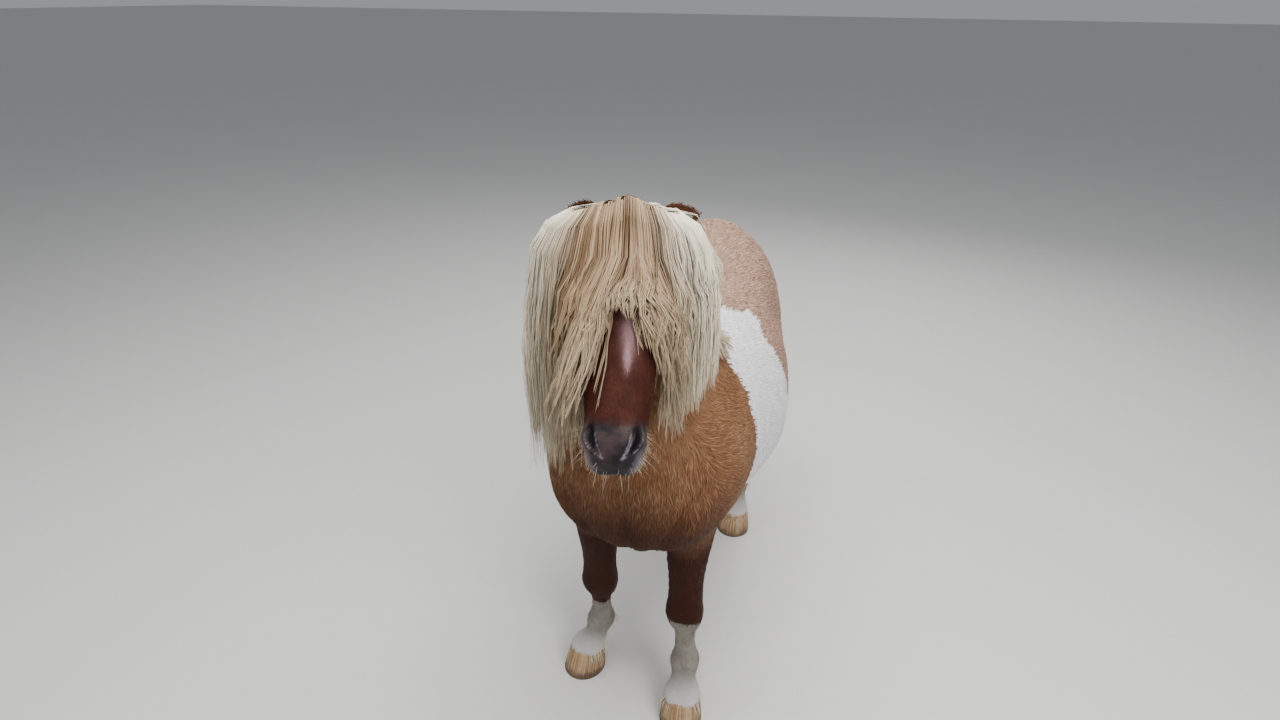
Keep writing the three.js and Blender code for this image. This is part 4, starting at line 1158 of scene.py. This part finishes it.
def flaxenShader(tree):
    # Straw to cream by each wisp's tone, paler where the locks are bleached, darker at the roots
    strand = split(tree, field(tree, "strand"))
    streak = noise(tree, field(tree, "grain"), 1500, 2)
    bleached = sums(tree, "MULTIPLY", strand["Z"], ramped(tree, strand["X"], 0.05, 0.45, 0.55, 1))
    colour = mixed(tree, ramped(tree, strand["X"], 0.32, 0.8), flaxen["straw"], flaxen["cream"])
    colour = mixed(tree, bleached, colour, flaxen["pale"])
    colour = mixed(tree, ramped(tree, strand["Y"], 0.45, 1.0, 0, 0.45), colour, flaxen["tip"])
    colour = mixed(tree, ramped(tree, strand["Y"], 0.16, 0.0, 0, 0.4), colour, flaxen["root"])
    return {
        "Base Color": brightened(tree, weighted(tree, 0.58, (strand["X"], 0.3), (streak, 0.5)), colour),
        "Roughness": ramped(tree, streak, 0, 1, 0.42, 0.6),
        "Normal": bumped(tree, streak, 0.0004, 0.7),
        "Specular IOR Level": 0.4,
    }


hairMaterial = newMaterial("Flaxen hair", flaxenShader)
strandPiece("forelockInner", forelockStrands(3100, 0.0, 0.5, 31), 1)
strandPiece("forelockOuter", forelockStrands(3700, 0.5, 1.0, 32), 1)
strandPiece("crownHair", forelockStrands(1200, 0.1, 0.8, 33, (84, 258), 0.42), 1)

mane = {
    "from": 2.05,  # the neck's stations between which it grows
    "to": 7.0,
    "drop": {"right": (200, 440), "left": (95, 240)},
    "locks": 34,
    "wisps": 300,
    "width": 2.9,
    "pale": 0.32,
}


def manePaths(side, at, depth, drop, bends):
    # Along the crest by share of its length, falling to one side, longer towards the poll
    row = rowsAt(neckRows, mane["from"] + (mane["to"] - mane["from"]) * at)
    root = np.stack([row[:, 5] + side * (5 - 12 * depth), row[:, 0], row[:, 1] - 3], 1)
    way = np.tile((float(side), 0, 0), (len(at), 1))
    lift = 2 + 24 * depth
    short, long = mane["drop"]["left" if side > 0 else "right"]
    falls = (short + (long - short) * at**0.8) * drop
    return falling(root, way, falls, lift, 8 + 18 * depth, 22 + lift, 0 * at, bends), way, root


def maneStrands(side, count, seed):
    # Locks along the crest, wisps about each lock, strands about each wisp
    draw = np.random.default_rng(seed)
    locks, wisps = mane["locks"], mane["wisps"]
    at = (np.arange(locks) + draw.random(locks)) / locks
    depth = draw.random(locks)
    drop = draw.uniform(0.66, 1.06, locks)
    lean = side * draw.uniform(-14, 44, locks)
    bends = (lean, draw.uniform(3, 13, locks), draw.uniform(0, 6.3, locks), draw.uniform(0, 9, locks))
    tone = draw.random(locks)
    lockPaths = manePaths(side, at, depth, drop, bends)[0]

    ofLock = draw.integers(locks, size=wisps)
    at2 = np.clip(at[ofLock] + draw.normal(size=wisps) * 0.022, 0, 1)
    depth2 = np.clip(depth[ofLock] + draw.normal(size=wisps) * 0.16, 0, 1)
    drop2 = drop[ofLock] * draw.uniform(0.75, 1.06, wisps)
    bends2 = bendsOf(draw, bends, ofLock, (12, 7, 0.9))
    tone2 = tone[ofLock] * 0.4 + draw.random(wisps) * 0.6
    wispPaths = manePaths(side, at2, depth2, drop2, bends2)[0]

    ofWisp = draw.integers(wisps, size=count)
    at3 = np.clip(at2[ofWisp] + draw.normal(size=count) * 0.007, 0, 1)
    depth3 = np.clip(depth2[ofWisp] + draw.normal(size=count) * 0.05, 0, 1)
    drop3 = drop2[ofWisp] * draw.uniform(0.84, 1.03, count)
    strands, way, root = manePaths(side, at3, depth3, drop3, bendsOf(draw, bends2, ofWisp, (3, 2, 0.3)))
    shaped = woven(lockPaths, wispPaths, strands, ofLock, ofWisp, draw, 1.4)
    tones = np.clip(tone2[ofWisp] * 0.65 + draw.random(count) * 0.2 + 0.2 * depth3, 0, 1)
    widths = mane["width"] * draw.uniform(0.6, 1.35, count)
    return shaped, way, widths, np.stack([tones, 0 * tones + mane["pale"]], 1), root


strandPiece("maneLeft", maneStrands(1, 2200, 41), 0)
strandPiece("maneRight", maneStrands(-1, 2700, 42), 0)

tail = {"locks": 40, "wisps": 340, "strands": 2900, "width": 3.2, "pale": 0.15, "tip": 62, "bush": (84, 52)}
# Share of a path, of the way out to the bush
tail["reach"] = [(0, 0), (0.06, 0.02), (0.16, 0.2), (0.3, 0.62)]
tail["reach"] += [(0.46, 0.95), (0.64, 1), (0.82, 0.74), (1, 0.4)]


def tailPaths(row, angle, low, bulk, bends):
    # Along the dock from its own row, then down to the tip, out to the bush and in again
    last = len(dockRows) - 1
    way = np.stack([np.sin(angle), np.cos(angle), 0 * angle], 1)
    aside = np.stack([way[:, 1], -way[:, 0], 0 * angle], 1)
    wide = np.hypot(tail["bush"][0] * way[:, 0], tail["bush"][1] * way[:, 1]) * bulk
    drift, wave, phase, _ = bends
    path = []
    for f, share in tail["reach"]:
        y, z, half, _ = rowsAt(dockRows, row + (last - row) * min(f / 0.3, 1)).T
        fall = max(f - 0.3, 0) / 0.7
        middle = np.stack([0 * y, y + (588 - y) * fall, z + (low - z) * fall], 1)
        r = half * (0.3 if f == 0 else 1) + 4 * (f > 0) + (wide - half) * share
        bend = drift * f + wave * np.sin(f * (6 + phase * 0.4) + phase) * min(f * 3, 1)
        path.append(middle + way * r[:, None] + aside * bend[:, None])
    return np.stack(path, 1), way, path[0]


def tailStrands(seed):
    # Locks down and round the dock, wisps about each lock, strands about each wisp
    draw = np.random.default_rng(seed)
    locks, wisps, count = tail["locks"], tail["wisps"], tail["strands"]
    row = draw.uniform(0.3, 4.6, locks)
    angle = draw.uniform(-1, 1, locks) * np.pi * 0.92
    low = tail["tip"] + draw.uniform(0, 110, locks)
    bulk = draw.uniform(0.35, 1.0, locks) ** 0.6 * (1.1 - 0.09 * row)
    drift = draw.normal(size=locks) * 12
    bends = (drift, draw.uniform(2, 10, locks), draw.uniform(0, 6.3, locks), np.zeros(locks))
    tone = draw.random(locks)
    lockPaths = tailPaths(row, angle, low, bulk, bends)[0]

    ofLock = draw.integers(locks, size=wisps)
    row2 = np.clip(row[ofLock] + draw.normal(size=wisps) * 0.4, 0.2, 5)
    angle2 = angle[ofLock] + draw.normal(size=wisps) * 0.25
    low2 = low[ofLock] + draw.uniform(0, 80, wisps)
    bulk2 = bulk[ofLock] * draw.uniform(0.7, 1.05, wisps)
    bends2 = bendsOf(draw, bends, ofLock, (7, 5, 0.7))
    tone2 = tone[ofLock] * 0.5 + draw.random(wisps) * 0.5
    wispPaths = tailPaths(row2, angle2, low2, bulk2, bends2)[0]

    ofWisp = draw.integers(wisps, size=count)
    row3 = np.clip(row2[ofWisp] + draw.normal(size=count) * 0.15, 0.2, 5)
    angle3 = angle2[ofWisp] + draw.normal(size=count) * 0.12
    low3 = low2[ofWisp] + draw.uniform(0, 40, count)
    bulk3 = bulk2[ofWisp] * draw.uniform(0.85, 1.05, count)
    strands, way, root = tailPaths(row3, angle3, low3, bulk3, bendsOf(draw, bends2, ofWisp, (3, 2, 0.3)))
    shaped = woven(lockPaths, wispPaths, strands, ofLock, ofWisp, draw, 1.8)
    tones = np.clip(tone2[ofWisp] * 0.65 + draw.random(count) * 0.3, 0, 1)
    widths = tail["width"] * draw.uniform(0.6, 1.3, count)
    return shaped, way, widths, np.stack([tones, 0 * tones + tail["pale"]], 1), root


strandPiece("tailHair", tailStrands(51), 0, ["tail"])

# Down a hoof: front y, back y, half width, z
hoofRows = [
    (-40, 34, 36, 70),
    (-46, 40, 42.5, 60),
    (-50, 41, 44, 48),
    (-55, 42, 46, 36),
    (-61, 42, 48.5, 20),
    (-66, 41.5, 50, 5),
    (-67.4, 41, 50.4, 1.2),
    (-66.6, 40.4, 49.8, 0),
]


def hoofGrid(rows, mirror, toe):
    # Egg-shaped rings from the coronet to the flat sole, turned out with the toe; their place on the wall
    front, back, half, z = rowsAt(hoofRows, np.linspace(0, len(hoofRows) - 1, 60)).T[..., None]
    a = 2 * np.pi * np.arange(72) / 72
    s = np.sin(a)
    y = (front + back) / 2 + (back - front) / 2 * np.sign(s) * np.abs(s) ** 0.96
    groove = 0.35 * np.sin(z * 1.15 + 0.8 * np.sin(a * 3)) * step(2, 9, z) * step(66, 56, z)
    x = (half + groove) * np.cos(a)
    turnBy = math.radians(toe * mirror)
    foot = rows[-1]
    points = np.stack([
        x * math.cos(turnBy) - y * math.sin(turnBy) + foot[5] * mirror,
        x * math.sin(turnBy) + y * math.cos(turnBy) + (foot[0] + foot[2]) / 2,
        np.broadcast_to(np.maximum(z, 0), x.shape),
    ], -1)
    return points, np.stack(np.broadcast_arrays(np.cos(a), s, z / body["hoofHeight"]), -1)


horn = {
    "brown": (0.22, 0.12, 0.052),
    "pale": (0.42, 0.285, 0.15),
    "ring": (0.15, 0.08, 0.04),
    "soil": (0.055, 0.036, 0.022),
}


def hornShader(tree):
    # Pale horn with stripes down the wall, growth rings round it and soil near the ground
    wall = field(tree, "wall")
    stripes = noise(tree, stretched(tree, wall, (9, 9, 0.35)), 1.6, 3)
    ridges = noise(tree, stretched(tree, wall, (0.4, 0.4, 16)), 1.0, 3)
    soil = noise(tree, objectPlace(tree), 60, 5)
    colour = mixed(tree, ramped(tree, stripes, 0.38, 0.62), horn["brown"], horn["pale"])
    colour = mixed(tree, ramped(tree, ridges, 0.45, 0.7, 0, 0.35), colour, horn["ring"])
    nearGround = sums(tree, "SUBTRACT", sums(tree, "MULTIPLY", soil, 0.8), split(tree, wall)["Z"])
    return {
        "Base Color": mixed(tree, ramped(tree, nearGround, -0.1, 0.35, 0, 0.85), colour, horn["soil"]),
        "Roughness": ramped(tree, soil, 0.2, 0.8, 0.5, 0.85),
        "Normal": bumped(tree, sums(tree, "ADD", sums(tree, "MULTIPLY", stripes, 0.5), ridges), 0.0012, 0.6),
    }


hoofNets, hoofWalls = [], []
for _, rows, mirror, toe in legs:
    grid, walls = hoofGrid(rows, mirror, toe)
    points, quads = drawnIn(grid)
    hoofNets.append((points, outward(points, quads)))
    hoofWalls.append(drawnIn(walls)[0])
hoofPoints, hoofQuads = joined(hoofNets)
hoofMesh = newMesh("hooves", toFrame(hoofPoints), hoofQuads)
setFields(hoofMesh, wall=np.vstack(hoofWalls))
hoofNodes = [f"hoof_{name}" for name, _, _, _ in legs]
addPiece("hooves", hoofMesh, newMaterial("Hoof horn", hornShader), hoofNodes)


def eyeBall(side):
    # A ball with the cornea raised by a hump round the axis of sight; its points' ways from the middle
    u = np.pi * (np.arange(48) + 0.5) / 48
    v = 2 * np.pi * np.arange(64) / 64
    axis = unit(np.array((side * 0.93, -0.3, 0.12)))
    up = unit(np.array((0, 0, 1)) - axis * axis[2])
    across = np.cross(up, axis)
    c, s = np.cos(u)[:, None], np.sin(u)[:, None]
    local = np.stack(np.broadcast_arrays(s * np.cos(v), s * np.sin(v), c), -1)
    radius = eye["radius"] - 0.3 + 0.9 * hump(np.arccos(np.clip(local[..., 2], -1, 1)), 0, 0.55)
    spread = across * local[..., :1] + up * local[..., 1:2] + axis * local[..., 2:]
    return onHead(eyeAt * (side, 1, 1) + spread * radius[..., None]), local


iris = {
    "dark": (0.030, 0.012, 0.005),
    "brown": (0.10, 0.042, 0.016),
    "rim": (0.030, 0.020, 0.016),
    "pupil": (0.002, 0.002, 0.003),
}


def eyeShader(tree):
    # A level pupil in a rayed brown iris, by the distance from the axis of sight
    look = field(tree, "look")
    places = (stretched(tree, look, scale) for scale in ((0.55, 1.25, 0), (1, 1, 0)))
    away = [node(tree, "ShaderNodeVectorMath", {0: spot}, operation="LENGTH") for spot in places]
    pupil, edge = (made.outputs["Value"] for made in away)
    colour = mixed(tree, ramped(tree, noise(tree, look, 14, 4), 0.35, 0.7), iris["dark"], iris["brown"])
    colour = mixed(tree, ramped(tree, edge, 0.62, 0.74), colour, iris["rim"])
    colour = mixed(tree, ramped(tree, pupil, 0.30, 0.24), colour, iris["pupil"])
    return {"Base Color": colour, "Roughness": 0.06, "Coat Weight": 1, "Coat Roughness": 0.02}


wetEye = newMaterial("Wet eye", eyeShader)
for name, side in (("left", 1), ("right", -1)):
    grid, local = eyeBall(side)
    points, quads = drawnIn(grid)
    eyeMesh = newMesh(f"eyeball_{name}", toFrame(points), outward(points, quads))
    setFields(eyeMesh, look=drawnIn(local)[0])
    addPiece(f"eyeball_{name}", eyeMesh, wetEye, [f"eye_{name}"])


# Feather over the coronets, whiskers and lashes
def shortStrands(points, ways, outs, lengths, sag, widths, tones, draw):
    # Each hair leaves its root along its way and bends down by sag * length * share^2
    s = rings[None, :, None]
    paths = points[:, None] + ways[:, None] * lengths[:, None, None] * s
    paths[..., 2] -= (sag * lengths)[:, None] * rings**2
    paths += draw.normal(size=(len(points), 1, 3)) * lengths[:, None, None] * 0.07 * s**2
    return paths, outs, widths, np.stack([tones, 0 * tones + 0.75], 1), points


def featherStrands(count, seed):
    # Down over the hoof from a band above it and, longer, from the back of the fetlock
    draw = np.random.default_rng(seed)
    z = skinPoints[:, 2]
    share = np.where(z < 96, 1.0, 1.5 * step(0.1, 0.7, skinNormals[:, 1]))
    share *= (z > 66) & (z < 150) & (skinPart == 0)
    pick = draw.choice(len(skinPoints), count, p=share / share.sum())
    points, normals = skinPoints[pick], skinNormals[pick]
    flat = unit(normals * (1, 1, 0) + 1e-6)
    ways = unit(flat * draw.uniform(0.25, 0.6, (count, 1)) - (0, 0, 1))
    lengths = draw.uniform(20, 36, count) + 14 * (points[:, 2] > 96)
    tones = draw.uniform(0.35, 0.9, count)
    widths = draw.uniform(1.4, 2.6, count)
    return shortStrands(points - normals, ways, flat, lengths, 0.1, widths, tones, draw)


def whiskerStrands(count, longOnes, seed):
    # Long ones from the sides of the muzzle and the chin, short fuzz round the lips
    draw = np.random.default_rng(seed)
    h = fromHead(skinPoints)
    on = (skinPart == 1) & (h[:, 1] < -326) & (h[:, 2] < -40)
    side = np.abs(h[:, 0]) / 30 + step(-70, -95, h[:, 2]) * 1.6
    pick = draw.choice(len(h), count, p=on * side / (on * side).sum())
    points, normals = skinPoints[pick], skinNormals[pick]
    long = np.arange(count) < longOnes
    lengths = np.where(long, draw.uniform(18, 42, count), draw.uniform(6, 13, count))
    ways = unit(normals + draw.normal(size=(count, 3)) * 0.22 + (0, -0.2, -0.25))
    widths = np.where(long, 0.34, 0.3)
    tones = draw.uniform(0.6, 1, count)
    return shortStrands(points - normals, ways, normals, lengths, 0.25, widths, tones, draw)


def lashStrands(count, seed):
    # A row along each upper lid, out and down
    draw = np.random.default_rng(seed)
    a = np.linspace(-0.9, 0.9, count // 2)
    away = unit(np.stack([0.9 - 0.25 * np.abs(a), 0.8 * a - 0.25, 0.42 - 0.25 * a**2], 1))
    away *= eye["radius"] + 1.5
    middles, aways = (np.vstack([v, v * (-1, 1, 1)]) for v in (0 * away + eyeAt, away))
    points = onHead(middles + aways)
    outs = unit(points - onHead(middles))
    lengths = draw.uniform(8, 13, count)
    ways = unit(outs + (0, 0, -0.1))
    return shortStrands(points, ways, outs, lengths, 0.5, np.full(count, 0.8), np.zeros(count), draw)


strandPiece("feather", featherStrands(760, 61), 0)
strandPiece("whiskers", whiskerStrands(380, 74, 62), 1)
strandPiece("lashes", lashStrands(68, 63), 1)

scene = bpy.context.scene
view = {
    "at": (0.367, -1.619, 1.580),  # in the drawing, metres
    "pitch": 26.3,
    "yaw": 16.4,
    "roll": 0.6,
    "focal": 748,  # pixels in a frame 1280 wide
}
pitch, yaw, roll = (math.radians(view[k]) for k in ("pitch", "yaw", "roll"))
ahead = np.array((-math.sin(yaw) * math.cos(pitch), math.cos(yaw) * math.cos(pitch), -math.sin(pitch)))
level = np.array((math.cos(yaw), math.sin(yaw), 0))
above = np.cross(level, ahead)
rightWay = level * math.cos(roll) + above * math.sin(roll)
upWay = above * math.cos(roll) - level * math.sin(roll)
camera = bpy.data.objects.new("camera", bpy.data.cameras.new("camera"))
scene.collection.objects.link(camera)
camera.data.sensor_width = 36
camera.data.lens = 36 * view["focal"] / 1280
turn = np.eye(4)
turn[:3] = np.column_stack([rightWay, upWay, -ahead, np.array(view["at"]) + place])
camera.matrix_world = Matrix(turn.tolist())
scene.camera = camera

floorMesh = bpy.data.meshes.new("floor")
floorMesh.from_pydata([(-60, -60, 0), (60, -60, 0), (60, 60, 0), (-60, 60, 0)], [], [(0, 1, 2, 3)])
floor = bpy.data.objects.new("floor", floorMesh)
scene.collection.objects.link(floor)
floorLook = {"Base Color": (0.62, 0.61, 0.59, 1), "Roughness": 0.9}
floorMesh.materials.append(newMaterial("Floor", lambda tree: floorLook))

# Place, target, size, power
lamps = {
    "top": ((0.3, -0.4, 3.4), (0, 0, 0.6), 3.0, 165),
    "key": ((2.4, -2.2, 3.1), (0, -0.1, 0.8), 1.6, 95),
    "fill": ((-2.8, -1.6, 2.2), (0, 0, 0.8), 2.2, 22),
    "back": ((0.5, 3.0, 2.6), (0, 0, 0.8), 2.0, 45),
}
for name, (at, target, size, power) in lamps.items():
    lamp = bpy.data.objects.new(name, bpy.data.lights.new(name, "AREA"))
    lamp.data.size = size
    lamp.data.energy = power
    lamp.location = at
    lamp.rotation_euler = (Vector(target) - Vector(at)).to_track_quat("-Z", "Y").to_euler()
    scene.collection.objects.link(lamp)
world = bpy.data.worlds.new("studio")
scene.world = world
world.use_nodes = True
sky = {"Color": (0.86, 0.9, 0.95, 1), "Strength": 0.36}
feed(world.node_tree, world.node_tree.nodes["Background"].inputs, sky)
